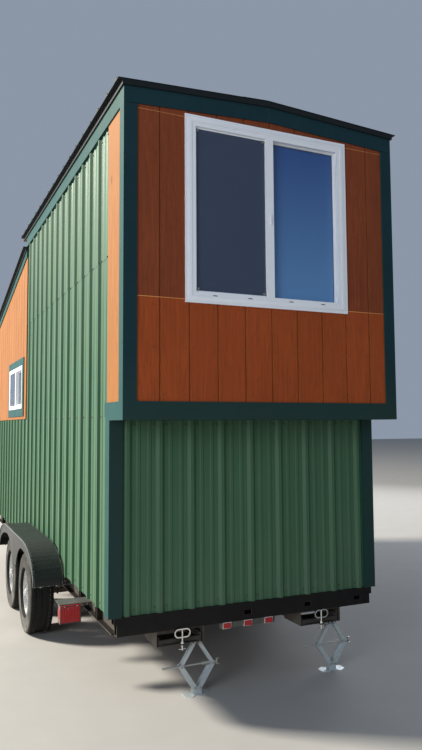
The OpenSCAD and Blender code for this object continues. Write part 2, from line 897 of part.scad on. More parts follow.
module lower_roof() {
    color([0.7, 0.62, 0.5]) along_x(-core_x, 2 * core_x)
        under_lower_roof(step_y, front_y - board_t, roof_sheet_t, lower_deck_depth);
}

// The lower roof's sheet and lips, its flashing up the step, and the ribs
module lower_roof_metal() {
    y1 = front_y + drip;
    lip_x = body_x + roof_lip_t;
    flash_z = lower_roof_z - roof_sheet_t;
    count = floor(body_x / rib_pitch);
    angle = atan(pitch_share);
    color([0.1, 0.11, 0.12]) {
        difference() {
            union() {
                along_x(-roof_half, 2 * roof_half) under_lower_roof(step_y, y1, 0, roof_sheet_t);
                along_x(-lip_x, 2 * lip_x)
                    under_lower_roof(step_y, front_y + roof_lip_t, 0, roof_edge_h);
            }
            along_x(-body_x, 2 * body_x)
                under_lower_roof(step_y - cut, front_y, roof_sheet_t, 2 * roof_edge_h);
        }
        along_y(step_y, roof_sheet_t) polygon([
            [-body_x, flash_z], [body_x, flash_z], [body_x, eave_z], [0, gable_z(0)], [-body_x, eave_z]
        ]);
        intersection() {
            for (i = [-count : count])
                translate([i * rib_pitch, step_y, lower_roof_z]) rotate([-angle, 0, 0])
                    along_y(-rib_pitch, y1 - step_y + 2 * rib_pitch)
                        roof_rib(0);
            along_x(-roof_half, 2 * roof_half) under_lower_roof(step_y, y1, -2 * rib_h, roof_sheet_t);
        }
    }
}

// Cladding

module side_metal() {
    front = front_y - board_w;
    difference() {
        union() {
            on_side(deck_z, lap_z + lap_h) ribbed_sheet(metal_y, step_y, rib_y, side_rib_pitch);
            on_side(lap_z, fascia_z) translate([0, sheet_t])
                ribbed_sheet(metal_y, step_y, rib_y, side_rib_pitch);
            on_side(deck_z, wood_z) ribbed_sheet(step_y, front, rib_y, side_rib_pitch);
        }
        span([core_x - cut, metal_y - cut, belt_z], [body_x + cut, rear_y + belt_side_l, raised_z]);
    }
}

module side_metal_siding() {
    color([0.45, 0.62, 0.5]) {
        mirror([1, 0, 0]) side_metal();
        difference() {
            side_metal();
            span([core_x - cut, door_y - board_w, deck_z - cut],
                 [body_x + cut, door_y + door_w + board_w, wood_z + cut]);
        }
    }
}

module end_metal_siding() {
    x = body_x - board_w;
    color([0.3, 0.42, 0.36]) {
        on_rear(deck_y + board_t, deck_z, belt_z - soffit_t) ribbed_sheet(-x, x, 0, rib_pitch);
        on_front(front_y - board_t, deck_z, wood_z) ribbed_sheet(-x, x, 0, rib_pitch);
    }
}

module side_wood() {
    front = front_y - board_w;
    span([core_x, rear_y + board_w, raised_z], [core_x + wood_t, metal_y, fascia_z]);
    difference() {
        on_side(wood_z, lower_roof_z) grooved_board(step_y, front, step_y);
        along_x(core_x - cut, board_t + 2 * cut) polygon([
            [step_y - cut, lower_top(step_y - cut) - lower_edge_depth],
            [front + cut, lower_top(front + cut) - lower_edge_depth],
            [front + cut, lower_roof_z + cut], [step_y - cut, lower_roof_z + cut]
        ]);
    }
}

module wood_siding() {
    x = body_x - board_w;
    w = rear_win_w / 2 - win_flange;
    color([0.55, 0.3, 0.2]) {
        mirror([1, 0, 0]) difference() {
            side_wood();
            span([core_x - cut, side_win_y - board_w, side_win_z - board_w],
                 [body_x + cut, side_win_y + side_win_w + board_w, side_win_z + side_win_h + board_w]);
        }
        difference() {
            side_wood();
            span([core_x - cut, door_y - board_w, wood_z - cut],
                 [body_x + cut, door_y + door_w + board_w, door_z + door_h + board_w]);
        }
        difference() {
            on_rear(rear_y + board_t, raised_z, eave_z) grooved_board(-x, x, wood_shift);
            along_y(rear_y - cut, board_t + 2 * cut) gable_band(body_x, -fascia_h, fascia_h);
            span([-w, rear_y - cut, rear_win_z + win_flange],
                 [w, rear_y + board_t + cut, rear_win_z + rear_win_h - win_flange]);
        }
        on_front(front_y - board_t, wood_z, lower_top(front_y) - lower_edge_depth)
            grooved_board(-x, x, 0);
    }
}

// Boards

module corner_pair(y, s, z0, z1) {
    far = y + s * board_t;
    end = y + s * board_w;
    span([body_x - board_w, min(y, far), z0], [body_x, max(y, far), z1]);
    span([core_x, min(far, end), z0], [body_x, max(far, end), z1]);
}

module corner_and_belt_boards() {
    front_top = lower_top(front_y) - lower_edge_depth;
    color([0.2, 0.38, 0.36]) {
        both_sides() {
            corner_pair(rear_y, 1, raised_z, fascia_z);
            corner_pair(deck_y, 1, deck_z, belt_z - soffit_t);
            corner_pair(front_y, -1, deck_z, front_top);
            span([core_x, rear_y + board_t, belt_z], [body_x, rear_y + belt_side_l, raised_z]);
            span([core_x, deck_y, belt_z - soffit_t], [body_x, metal_y, belt_z]);
        }
        span([-body_x, rear_y, belt_z], [body_x, rear_y + board_t, raised_z]);
        span([-body_x, rear_y, belt_z - soffit_t], [body_x, deck_y + board_t, belt_z]);
    }
}

module fascia_boards() {
    color([0.25, 0.5, 0.47]) {
        difference() {
            along_y(rear_y, board_t) gable_band(body_x, -fascia_h, sheet_rise);
            span([-joint_gap / 2, rear_y - cut, fascia_z - cut],
                 [joint_gap / 2, rear_y + board_t + cut, gable_z(0) + roof_edge_h]);
        }
        both_sides() {
            span([core_x, rear_y + board_t, fascia_z], [body_x, step_y, eave_z + sheet_rise]);
            along_x(core_x, board_t)
                under_lower_roof(step_y, front_y - board_t, roof_sheet_t, lower_edge_depth);
        }
        along_x(-body_x, 2 * body_x)
            under_lower_roof(front_y - board_t, front_y, roof_sheet_t, lower_edge_depth);
    }
}

module casing(y, w, z, h) {
    difference() {
        span([core_x, y - board_w, z - board_w], [body_x, y + w + board_w, z + h + board_w]);
        span([core_x - cut, y, z], [body_x + cut, y + w, z + h]);
    }
}

module window_casings() {
    color([0.2, 0.38, 0.36]) {
        mirror([1, 0, 0]) casing(side_win_y, side_win_w, side_win_z, side_win_h);
        difference() {
            span([core_x, door_y - board_w, deck_z],
                 [body_x, door_y + door_w + board_w, door_z + door_h + board_w]);
            span([core_x - cut, door_y, door_z], [body_x + cut, door_y + door_w, door_z + door_h]);
        }
    }
}

// Windows and door

module rear_window_frame() {
    w = rear_win_w / 2;
    top = rear_win_z + rear_win_h;
    y = rear_y + board_t - wood_t;
    color([0.93, 0.93, 0.92]) difference() {
        union() {
            span([-w, y - win_flange_t, rear_win_z], [w, y, top]);
            span([-w + win_flange, y, rear_win_z + win_flange],
                 [w - win_flange, y + win_depth, top - win_flange]);
        }
        for (s = [0, 1]) mirror([s, 0, 0])
            span([win_stile / 2, y - win_flange_t - cut, rear_win_z + win_border],
                 [w - win_border, y + win_depth + cut, top - win_border]);
    }
}

module side_window_frames() {
    y0 = side_win_y;
    y1 = side_win_y + side_win_w;
    z0 = side_win_z;
    z1 = side_win_z + side_win_h;
    mid = (y0 + y1) / 2;
    color([0.93, 0.93, 0.92]) mirror([1, 0, 0]) difference() {
        span([body_x - side_win_depth, y0, z0], [body_x, y1, z1]);
        span([body_x - side_win_depth - cut, y0 + side_border, z0 + side_border],
             [body_x + cut, mid - side_stile / 2, z1 - side_border]);
        span([body_x - side_win_depth - cut, mid + side_stile / 2, z0 + side_border],
             [body_x + cut, y1 - side_border, z1 - side_border]);
    }
}

module window_glass() {
    w = rear_win_w / 2;
    y = rear_y + board_t - wood_t + glass_in;
    top = rear_win_z + rear_win_h;
    mid = side_win_y + side_win_w / 2;
    color([0.6, 0.7, 0.75, 0.35]) {
        span([-w + win_border, y + sash_step, rear_win_z + win_border],
             [-win_stile / 2, y + sash_step + glass_t, top - win_border]);
        span([win_stile / 2, y, rear_win_z + win_border], [w - win_border, y + glass_t, top - win_border]);
        mirror([1, 0, 0]) for (s = [0, 1]) {
            x = body_x - glass_in + s * sash_step / 2;
            span([x, s == 0 ? side_win_y + side_border : mid + side_stile / 2, side_win_z + side_border],
                 [x + glass_t, s == 0 ? mid - side_stile / 2 : side_win_y + side_win_w - side_border,
                  side_win_z + side_win_h - side_border]);
        }
    }
}

module window_screens() {
    w = rear_win_w / 2;
    y = rear_y + board_t - wood_t + screen_in;
    mid = side_win_y + side_win_w / 2;
    color([0.08, 0.09, 0.1]) {
        span([-w + win_border, y, rear_win_z + win_border],
             [-win_stile / 2, y + screen_t, rear_win_z + rear_win_h - win_border]);
        mirror([1, 0, 0]) span(
            [body_x - screen_in - screen_t, mid + side_stile / 2, side_win_z + side_border],
            [body_x - screen_in, side_win_y + side_win_w - side_border,
             side_win_z + side_win_h - side_border]);
    }
}

module door() {
    x = body_x - door_in;
    color([0.2, 0.38, 0.36]) {
        difference() {
            span([x - door_t, door_y, door_z], [x, door_y + door_w, door_z + door_h]);
            for (p = door_panel_share)
                span([x - door_panel_in, door_y + p[0] * door_w, door_z + p[1] * door_h],
                     [x + cut, door_y + p[2] * door_w, door_z + p[3] * door_h]);
        }
        translate([x, door_y + knob_share[0] * door_w, door_z + knob_share[1] * door_h]) {
            rotate([0, 90, 0]) cylinder(h = knob_d / 2, d = knob_neck_d);
            translate([knob_d / 2, 0, 0]) rotate([0, 90, 0]) cylinder(h = knob_d / 2, d = knob_d);
        }
    }
}

// Wheels

module tyre() {
    r = tyre_d / 2;
    w = tyre_w / 2;
    s = bead_seat_w / 2;
    bead = rim_d / 2 + bead_gap;
    color([0.07, 0.07, 0.08]) rotate([0, 90, 0]) difference() {
        rotate_extrude($fn = 96) difference() {
            polygon(concat(
                [[bead, -s], [bead + rim_lip, -s], [bead + tyre_shoulder, -w]],
                arc(r - tyre_shoulder, -w + tyre_shoulder, tyre_shoulder, -90, 0, 5),
                arc(r - tyre_shoulder, w - tyre_shoulder, tyre_shoulder, 0, 90, 5),
                [[bead + tyre_shoulder, w], [bead + rim_lip, s], [bead, s]]
            ));
            polygon([
                [bead - cut, -s + tyre_wall], [bead + rim_lip + tyre_wall, -s + tyre_wall],
                [bead + tyre_shoulder + tyre_wall, -w + tyre_wall],
                [r - tyre_shoulder, -w + tyre_wall], [r - 2 * tyre_wall, -w + tyre_shoulder],
                [r - 2 * tyre_wall, w - tyre_shoulder], [r - tyre_shoulder, w - tyre_wall],
                [bead + tyre_shoulder + tyre_wall, w - tyre_wall],
                [bead + rim_lip + tyre_wall, s - tyre_wall], [bead - cut, s - tyre_wall]
            ]);
            for (share = tread_share)
                translate([r - tread_groove_d, share * tyre_w - tread_groove_w / 2])
                    square([tread_groove_d + cut, tread_groove_w]);
        }
    }
}

module rim() {
    seat = rim_d / 2;
    s = bead_seat_w / 2;
    face = tyre_w / 2 - disc_in;
    color([0.75, 0.76, 0.77]) rotate([0, 90, 0]) difference() {
        union() {
            rotate_extrude($fn = 96) polygon([
                [seat - rim_t, -s], [seat, -s], [seat, s], [seat - rim_t, s]
            ]);
            for (e = [-1, 1]) translate([0, 0, e * (s + rim_t / 2) - rim_t / 2]) rotate_extrude($fn = 96)
                translate([seat - rim_t, 0]) square([rim_lip + rim_t, rim_t]);
            translate([0, 0, face - disc_t]) cylinder(h = disc_t, r = seat - rim_t / 2, $fn = 96);
            translate([0, 0, -s / 2]) cylinder(h = face + s / 2, d = hub_d);
            translate([0, 0, face]) cylinder(h = hub_cap_l, d = hub_cap_d);
            for (i = [0 : lug_count - 1]) rotate([0, 0, i * 360 / lug_count])
                translate([lug_circle_d / 2, 0, face - cut]) cylinder(h = lug_l, d = lug_d);
        }
        for (i = [0 : vent_count - 1]) rotate([0, 0, (i + 1 / 2) * 360 / vent_count])
            translate([vent_circle_d / 2, 0, face - 2 * disc_t]) cylinder(h = 3 * disc_t, d = vent_d);
        translate([0, 0, -s]) cylinder(h = s + face + rim_t, d = spindle_d + 2 * bearing_gap);
    }
}

module at_wheel(side, end) {
    translate([0, axles_y + end * axle_gap / 2, hub_z]) mirror([side < 0 ? 1 : 0, 0, 0])
        translate([tyre_x, 0, 0]) children();
}

module left_rear_tyre() { at_wheel(-1, -1) tyre(); }
module left_rear_rim() { at_wheel(-1, -1) rim(); }
module left_front_tyre() { at_wheel(-1, 1) tyre(); }
module left_front_rim() { at_wheel(-1, 1) rim(); }
module right_rear_tyre() { at_wheel(1, -1) tyre(); }
module right_rear_rim() { at_wheel(1, -1) rim(); }
module right_front_tyre() { at_wheel(1, 1) tyre(); }
module right_front_rim() { at_wheel(1, 1) rim(); }

// Scissor jacks, drawn about the middle of the jack and the pivots' own heights

// A channel arm from the first pivot, leaning by angle from +X, with its web on the outer side
module channel_arm(angle, width, depth, web_side) {
    r = depth / 2;
    hole = pin_r + pivot_gap;
    rotate([0, -angle, 0]) difference() {
        translate([0, width / 2, 0]) rotate([90, 0, 0]) linear_extrude(width) union() {
            translate([0, -r]) square([arm_l, depth]);
            circle(r = r);
            translate([arm_l, 0]) circle(r = r);
        }
        translate([0, width / 2 - jack_sheet, 0]) rotate([90, 0, 0])
            linear_extrude(width - 2 * jack_sheet) union() {
                translate([-depth, -r + (web_side < 0 ? jack_sheet : -depth)])
                    square([arm_l + 2 * depth, 2 * depth - jack_sheet]);
            }
        for (x = [0, arm_l]) {
            translate([x, width, 0]) rotate([90, 0, 0]) cylinder(h = 2 * width, r = hole);
            translate([x - depth, -width / 2 + jack_sheet, -depth])
                cube([2 * depth, width - 2 * jack_sheet, 2 * depth]);
        }
    }
}

module at_jack(x) {
    translate([x, jack_y, 0]) children();
}

module upper_left_arm() {
    color([0.72, 0.75, 0.72]) translate([-pivot_half, 0, head_pivot_z])
        channel_arm(180 + arm_angle, upper_w, upper_depth, -1);
}

module upper_right_arm() {
    color([0.72, 0.75, 0.72]) translate([pivot_half, 0, head_pivot_z])
        channel_arm(-arm_angle, upper_w, upper_depth, 1);
}

module lower_left_arm() {
    color([0.66, 0.7, 0.7]) translate([-pivot_half, 0, foot_pivot_z])
        channel_arm(180 - arm_angle, lower_w, lower_depth, 1);
}

module lower_right_arm() {
    color([0.66, 0.7, 0.7]) translate([pivot_half, 0, foot_pivot_z])
        channel_arm(arm_angle, lower_w, lower_depth, -1);
}

module jack_foot() {
    half = foot_w / 2;
    waist = foot_waist / 2;
    cheek = pivot_half + foot_cheek_h;
    color([0.75, 0.78, 0.78]) {
        linear_extrude(jack_sheet) polygon([
            [-half, -foot_l / 4], [-half, foot_l / 4], [-foot_w / 4, foot_l / 2], [-waist / 2, waist],
            [waist / 2, waist], [foot_w / 4, foot_l / 2], [half, foot_l / 4], [half, -foot_l / 4],
            [foot_w / 4, -foot_l / 2], [waist / 2, -waist], [-waist / 2, -waist], [-foot_w / 4, -foot_l / 2]
        ]);
        for (s = [-1, 1]) {
            translate([0, s * (foot_inner + jack_sheet) / 2 + jack_sheet / 2, 0]) rotate([90, 0, 0])
                linear_extrude(jack_sheet) union() {
                    translate([-cheek, 0]) square([2 * cheek, foot_pivot_z]);
                    for (p = [-1, 1]) translate([p * pivot_half, foot_pivot_z]) circle(r = foot_cheek_h);
                }
            translate([s * pivot_half, lower_w / 2, foot_pivot_z]) rotate([90, 0, 0])
                cylinder(h = lower_w, r = pin_r);
        }
    }
}

module trunnion(x) {
    translate([x, 0, side_pivot_z]) rotate([90, 0, 0]) {
        translate([0, 0, -trunnion_w / 2]) cylinder(h = trunnion_w, d = trunnion_d);
        translate([0, 0, -lower_w / 2]) cylinder(h = lower_w, r = pin_r);
    }
}

module jack_screw() {
    color([0.6, 0.6, 0.58]) {
        trunnion(side_pivot_x);
        translate([-side_pivot_x - screw_reach, 0, side_pivot_z]) rotate([0, 90, 0])
            cylinder(h = 2 * side_pivot_x + screw_reach, d = screw_d);
        translate([side_pivot_x - sleeve_l - trunnion_d / 2, 0, side_pivot_z]) rotate([0, 90, 0])
            cylinder(h = sleeve_l + trunnion_d / 2, d = sleeve_d);
        translate([side_pivot_x, 0, side_pivot_z]) rotate([0, 90, 0])
            cylinder(h = yoke_x - side_pivot_x, d = screw_d);
        difference() {
            translate([yoke_x, -sleeve_d / 2, side_pivot_z - sleeve_d])
                cube([trunnion_d, sleeve_d, 2 * sleeve_d]);
            translate([yoke_x + jack_sheet, -sleeve_d, side_pivot_z - sleeve_d + jack_sheet])
                cube([trunnion_d, 2 * sleeve_d, 2 * (sleeve_d - jack_sheet)]);
        }
    }
}

module jack_nut() {
    color([0.6, 0.6, 0.58]) difference() {
        trunnion(-side_pivot_x);
        translate([-side_pivot_x - trunnion_d, 0, side_pivot_z]) rotate([0, 90, 0])
            cylinder(h = 2 * trunnion_d, d = screw_d + 2 * pivot_gap);
    }
}

module left_jack_upper_left_arm() { at_jack(left_jack_x) upper_left_arm(); }
module left_jack_upper_right_arm() { at_jack(left_jack_x) upper_right_arm(); }
module left_jack_lower_left_arm() { at_jack(left_jack_x) lower_left_arm(); }
module left_jack_lower_right_arm() { at_jack(left_jack_x) lower_right_arm(); }
module left_jack_foot() { at_jack(left_jack_x) jack_foot(); }
module left_jack_screw() { at_jack(left_jack_x) jack_screw(); }
module left_jack_nut() { at_jack(left_jack_x) jack_nut(); }
module right_jack_upper_left_arm() { at_jack(right_jack_x) upper_left_arm(); }
module right_jack_upper_right_arm() { at_jack(right_jack_x) upper_right_arm(); }
module right_jack_lower_left_arm() { at_jack(right_jack_x) lower_left_arm(); }
module right_jack_lower_right_arm() { at_jack(right_jack_x) lower_right_arm(); }
module right_jack_foot() { at_jack(right_jack_x) jack_foot(); }
module right_jack_screw() { at_jack(right_jack_x) jack_screw(); }
module right_jack_nut() { at_jack(right_jack_x) jack_nut(); }

side_rails();
cross_members();
tongue();
coupler();
tongue_jack();
axles();
leaf_springs();
fenders();
light_brackets();
red_lenses();
ramp_pockets();
stored_ramps();
ramp_pins();
floor_deck();
raised_floor();
rear_wall_lower();
rear_wall_upper();
lower_side_walls();
upper_side_walls();
front_side_walls();
front_wall();
upper_roof();
upper_roof_metal();
lower_roof();
lower_roof_metal();
side_metal_siding();
end_metal_siding();
wood_siding();
corner_and_belt_boards();
fascia_boards();
window_casings();
rear_window_frame();
side_window_frames();
window_glass();
window_screens();
door();
left_rear_tyre();
left_rear_rim();
left_front_tyre();
left_front_rim();
right_rear_tyre();
right_rear_rim();
right_front_tyre();
right_front_rim();
left_jack_upper_left_arm();
left_jack_upper_right_arm();
left_jack_lower_left_arm();
left_jack_lower_right_arm();
left_jack_foot();
left_jack_screw();
left_jack_nut();
right_jack_upper_left_arm();
right_jack_upper_right_arm();
right_jack_lower_left_arm();
right_jack_lower_right_arm();
right_jack_foot();
right_jack_screw();
right_jack_nut();
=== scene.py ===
# %% [markdown]
# # A tiny house on wheels
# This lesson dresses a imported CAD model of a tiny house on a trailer. The CAD parts are the fixed frame:
# they keep their shape and place, and every new piece is modelled around them and rides on one of their bodies.
# All lengths are in metres. X runs across the house, Y from its rear to the tongue, and Z is up.

# %% Load the frame
import json
import math

import bpy
from mathutils import Matrix, Vector


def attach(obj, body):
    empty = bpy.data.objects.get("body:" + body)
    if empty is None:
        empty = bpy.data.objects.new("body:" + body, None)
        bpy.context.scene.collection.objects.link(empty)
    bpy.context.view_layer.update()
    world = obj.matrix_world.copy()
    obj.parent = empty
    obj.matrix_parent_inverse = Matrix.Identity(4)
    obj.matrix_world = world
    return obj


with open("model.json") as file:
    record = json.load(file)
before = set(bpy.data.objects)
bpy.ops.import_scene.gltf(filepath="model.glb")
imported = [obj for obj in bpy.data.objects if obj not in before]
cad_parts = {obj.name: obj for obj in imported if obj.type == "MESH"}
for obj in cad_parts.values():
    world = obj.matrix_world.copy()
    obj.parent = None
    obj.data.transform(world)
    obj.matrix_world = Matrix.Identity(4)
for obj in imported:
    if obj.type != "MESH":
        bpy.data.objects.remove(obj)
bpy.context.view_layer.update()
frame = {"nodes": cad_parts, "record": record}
nodes = frame["nodes"]

# %% [markdown]
# ## The camera
# A photograph is matched by three things: where the lens was, which way it pointed, and how wide it saw.
# The lens stood low behind the left rear corner and was turned a little to the right and upward. The picture is
# upright, so the sensor's width belongs to its long side, and the focal length follows from that.

# %% Camera
EYE = Vector((-2.245, -7.7865, 1.836))
TURN, TILT, ROLL = math.radians(24.199), math.radians(4.249), math.radians(-0.311)
PICTURE_H, FOCAL_PIXELS, SENSOR_MM = 750, 674.17, 36
QUARTER = math.pi / 2


def link(thing):
    bpy.context.scene.collection.objects.link(thing)


def moved(x, y, z):
    return Matrix.Translation((x, y, z))


def turned(angle, axis):
    return Matrix.Rotation(angle, 4, axis)


camera = bpy.data.objects.new("camera", bpy.data.cameras.new("camera"))
link(camera)
camera.data.sensor_width = SENSOR_MM
camera.data.lens = SENSOR_MM * FOCAL_PIXELS / PICTURE_H
camera.matrix_world = moved(*EYE) @ turned(-TURN, "Z") @ turned(QUARTER + TILT, "X") @ turned(ROLL, "Z")
bpy.context.scene.camera = camera
print("focal length", round(camera.data.lens, 2), "mm")

# %% [markdown]
# ## A plain studio
# The house stands on a pale floor. A strong lamp far out on the left does the work of the sun that warms the left
# wall in the photograph, and a pale sky fills the shade. A broad cool lamp ahead on the left puts the sheen of the
# sky on that wall, one behind the house lifts the shade of its rear, and one on the right lights the far side.

# %% Floor and lamps
def deselect():
    if bpy.context.object and bpy.context.object.mode != "OBJECT":
        bpy.ops.object.mode_set(mode="OBJECT")
    bpy.ops.object.select_all(action="DESELECT")


def area_lamp(name, place, target, size, power, colour):
    lamp = bpy.data.lights.new(name, "AREA")
    lamp.size, lamp.energy, lamp.color = size, power, colour
    lamp_object = bpy.data.objects.new(name, lamp)
    lamp_object.location = place
    lamp_object.rotation_euler = (Vector(target) - Vector(place)).to_track_quat("-Z", "Y").to_euler()
    lamp_object.visible_camera = False
    link(lamp_object)


deselect()
bpy.ops.mesh.primitive_plane_add(size=120)
floor = bpy.context.object
floor.name = "studio_floor"

area_lamp("left_key", (-22.5, 12.5, 17.5), (0, -0.5, 2), 4.0, 28000, (1.0, 0.94, 0.83))
area_lamp("front_left_sheen", (-11, 24, 6), (-1, -1, 2), 16, 750, (0.82, 0.93, 1.0))
area_lamp("rear_fill", (-9, -10, 4), (0, -3, 2), 5, 540, (0.90, 0.95, 1.0))
area_lamp("right_fill", (10, 6, 7), (0, 0, 2), 8, 700, (0.95, 0.97, 1.0))

world = bpy.data.worlds.new("studio_sky")
bpy.context.scene.world = world
world.use_nodes = True
sky = world.node_tree.nodes["Background"]
sky.inputs["Color"].default_value = (0.62, 0.74, 0.92, 1)
sky.inputs["Strength"].default_value = 0.42
bpy.context.scene.view_settings.view_transform = "Standard"

# %% [markdown]
# ## Shared effects
# Dust, faded patches, worn edges and wood grain show on many finishes. Each is a node group that is built once
# and placed in every material that needs it, with its own values. `connect` gives a node's sockets a value or a
# link, named by label or by number, and `add_node` makes a node and connects it, so a group reads like a sentence.

# %% Helpers for node trees
def connect(tree, node, **links):
    for key, value in links.items():
        socket = node.inputs[int(key[1:]) if key[1:].isdigit() else key.replace("_", " ")]
        if isinstance(value, bpy.types.NodeSocket):
            tree.links.new(value, socket)
        else:
            socket.default_value = (*value, 1) if socket.type == "RGBA" else value


def add_node(tree, kind, settings=(), **links):
    made = tree.nodes.new("ShaderNode" + kind)
    for key, value in dict(settings).items():
        setattr(made, key, value)
    connect(tree, made, **links)
    return made


def new_group(name, inputs, outputs):
    group = bpy.data.node_groups.new(name, "ShaderNodeTree")
    for label, start in inputs.items():
        socket = group.interface.new_socket(label, in_out="INPUT", socket_type="NodeSocketFloat")
        socket.default_value = start
    for label in outputs:
        group.interface.new_socket(label, in_out="OUTPUT", socket_type="NodeSocketFloat")
    return group, group.nodes.new("NodeGroupInput").outputs, group.nodes.new("NodeGroupOutput")


def use_group(tree, group, **values):
    placed = tree.nodes.new("ShaderNodeGroup")
    placed.node_tree = group
    connect(tree, placed, **values)
    return placed.outputs


def mask_of(tree, group, **values):
    return use_group(tree, group, **values)["Mask"]


def calc(tree, operation, a, b=0.0, clamp=False):
    return add_node(tree, "Math", dict(operation=operation, use_clamp=clamp), i0=a, i1=b).outputs[0]


def times(tree, a, b, clamp=False):
    return calc(tree, "MULTIPLY", a, b, clamp)


def ramp(tree, value, low, high, start=0.0, end=1.0):
    return add_node(tree, "MapRange", dict(clamp=True), i0=value, i1=low, i2=high, i3=start, i4=end).outputs[0]


def noise(tree, vector, scale, detail=4.0, roughness=0.55):
    return add_node(tree, "TexNoise", Vector=vector, Scale=scale, Detail=detail, Roughness=roughness).outputs["Fac"]


def point(tree):
    return add_node(tree, "TexCoord").outputs["Object"]


def normal(tree):
    return add_node(tree, "NewGeometry").outputs["Normal"]


def split(tree, vector):
    return add_node(tree, "SeparateXYZ", Vector=vector).outputs


def stretched(tree, share):
    return add_node(tree, "Mapping", Vector=point(tree), Scale=(1, 1, share)).outputs[0]


# %% [markdown]
# **Faded patches** are two layers of noise, broad and fine. **Ground dust** is thick near the road and thins out
# with height. **Worn edges** compares the true normal with one that is rounded over a small radius: they differ
# only near an edge. **Rain streaks** are noise that is stretched along Z.

# %% Node groups
def build_patches():
    tree, given, out = new_group("faded_patches", {"Scale": 3.0}, ["Mask"])
    place = point(tree)
    broad = noise(tree, place, given["Scale"], 3)
    fine = noise(tree, place, times(tree, given["Scale"], 9.0), 5)
    mixed = calc(tree, "ADD", times(tree, broad, 0.7), times(tree, fine, 0.3))
    connect(tree, out, Mask=ramp(tree, mixed, 0.3, 0.7))
    return tree


def build_dust():
    tree, given, out = new_group("ground_dust", {"Low": 0.0, "High": 0.8, "Amount": 0.5}, ["Mask"])
    place = point(tree)
    nearness = ramp(tree, split(tree, place)["Z"], given["High"], given["Low"])
    spread = ramp(tree, noise(tree, place, 7.0, 6, 0.7), 0.25, 0.75)
    connect(tree, out, Mask=times(tree, times(tree, nearness, spread), given["Amount"], True))
    return tree


def build_worn():
    tree, given, out = new_group("worn_edges", {"Radius": 0.002, "Amount": 0.6}, ["Mask"])
    rounded = add_node(tree, "Bevel", dict(samples=4), Radius=given["Radius"]).outputs[0]
    same = add_node(tree, "VectorMath", dict(operation="DOT_PRODUCT"), i0=rounded, i1=normal(tree)).outputs["Value"]
    edge = ramp(tree, calc(tree, "SUBTRACT", 1.0, same), 0.01, 0.12)
    broken = ramp(tree, noise(tree, point(tree), 60.0, 3), 0.42, 0.6)
    connect(tree, out, Mask=times(tree, times(tree, edge, broken), given["Amount"], True))
    return tree


def build_streaks():
    tree, given, out = new_group("rain_streaks", {"Width": 14.0}, ["Mask"])
    lines = noise(tree, stretched(tree, 0.05), given["Width"], 5, 0.6)
    connect(tree, out, Mask=ramp(tree, lines, 0.35, 0.7))
    return tree


PATCHES, DUST, WORN, STREAKS = build_patches(), build_dust(), build_worn(), build_streaks()
print("node groups:", [g.name for g in bpy.data.node_groups])

# %% [markdown]
# Wood needs more: long fibres, a few knots, and boards that took the stain differently. The fibres are noise
# that is squeezed across the grain. The board number is the coordinate divided by the groove spacing and rounded
# down, and a white-noise node turns that number into a tint.

# %% Wood grain group
GROOVE_PITCH = 0.2032


def build_grain():
    tree, given, out = new_group("vertical_grain", {"Fineness": 60.0, "Knots": 0.5}, ["Fibre", "Knot", "Board"])
    wander = times(tree, noise(tree, stretched(tree, 0.35), 4.0, 3), 0.1)
    sway = add_node(tree, "CombineXYZ", i0=wander, i1=wander).outputs[0]
    bent = add_node(tree, "VectorMath", dict(operation="ADD"), i0=stretched(tree, 0.035), i1=sway).outputs[0]
    fibre = noise(tree, bent, given["Fineness"], 6, 0.65)
    spots = add_node(tree, "TexVoronoi", Vector=stretched(tree, 0.6), Scale=2.6).outputs["Distance"]
    knot = calc(tree, "SUBTRACT", 1.0, ramp(tree, spots, 0.012, 0.06))
    place = split(tree, point(tree))
    across, along = [calc(tree, "FLOOR", calc(tree, "DIVIDE", place[axis], GROOVE_PITCH)) for axis in "XY"]
    number = calc(tree, "ADD", across, times(tree, along, 17.0))
    tint = add_node(tree, "TexWhiteNoise", dict(noise_dimensions="1D"), W=number).outputs["Value"]
    connect(tree, out, Fibre=ramp(tree, fibre, 0.3, 0.72), Knot=times(tree, knot, given["Knots"]), Board=tint)
    return tree


GRAIN = build_grain()
print("grain outputs:", [s.name for s in GRAIN.interface.items_tree if s.in_out == "OUTPUT"])

# %% [markdown]
# ## Finishes
# A finish starts from one colour. `finish` makes the material and sets what is the same all over the surface on
# the shader's own sockets. `layer` lays a second colour over the first where a mask says so.

# %% Material helpers
DUST_COLOUR = (0.32, 0.28, 0.23)
finishes = {}


def finish(name, colour, roughness, metallic=0.0, **sockets):
    material = bpy.data.materials.new(name)
    material.use_nodes = True
    shader = material.node_tree.nodes["Principled BSDF"]
    connect(material.node_tree, shader, Base_Color=colour, Roughness=roughness, Metallic=metallic, **sockets)
    material.diffuse_color = (*colour, 1)
    finishes[name] = material
    return material.node_tree, shader


def layer(tree, mask, below, above, blend="MIX"):
    return add_node(tree, "Mix", dict(data_type="RGBA", blend_type=blend), i0=mask, i6=below, i7=above).outputs[2]


def bump(tree, shader, height, strength, distance):
    made = add_node(tree, "Bump", Height=height, Strength=strength, Distance=distance)
    connect(tree, shader, Normal=made.outputs[0])


def between(tree, mask, low, high):
    return ramp(tree, mask, 0.0, 1.0, low, high)


def scaled(colour, share):
    return tuple(share * c for c in colour)


# %% [markdown]
# Paint fades in patches and streaks, wears off at edges and gathers dust. Dust is `(low, high, amount)`: all of it
# at the low height, none over the high one. Wear is `(radius, amount, colour)`. The sun lights the side walls, and
# a side mask finds what faces them, so a finish can be paler there: extra dust colour on those faces is partly dust
# and partly painted sunlight. The backs of the side ribs get a darker green, a painted shade.

# %% Painted and bare metals
def sunlit_side_mask(tree):
    return ramp(tree, calc(tree, "ABSOLUTE", split(tree, normal(tree))["X"]), 0.55, 0.85)


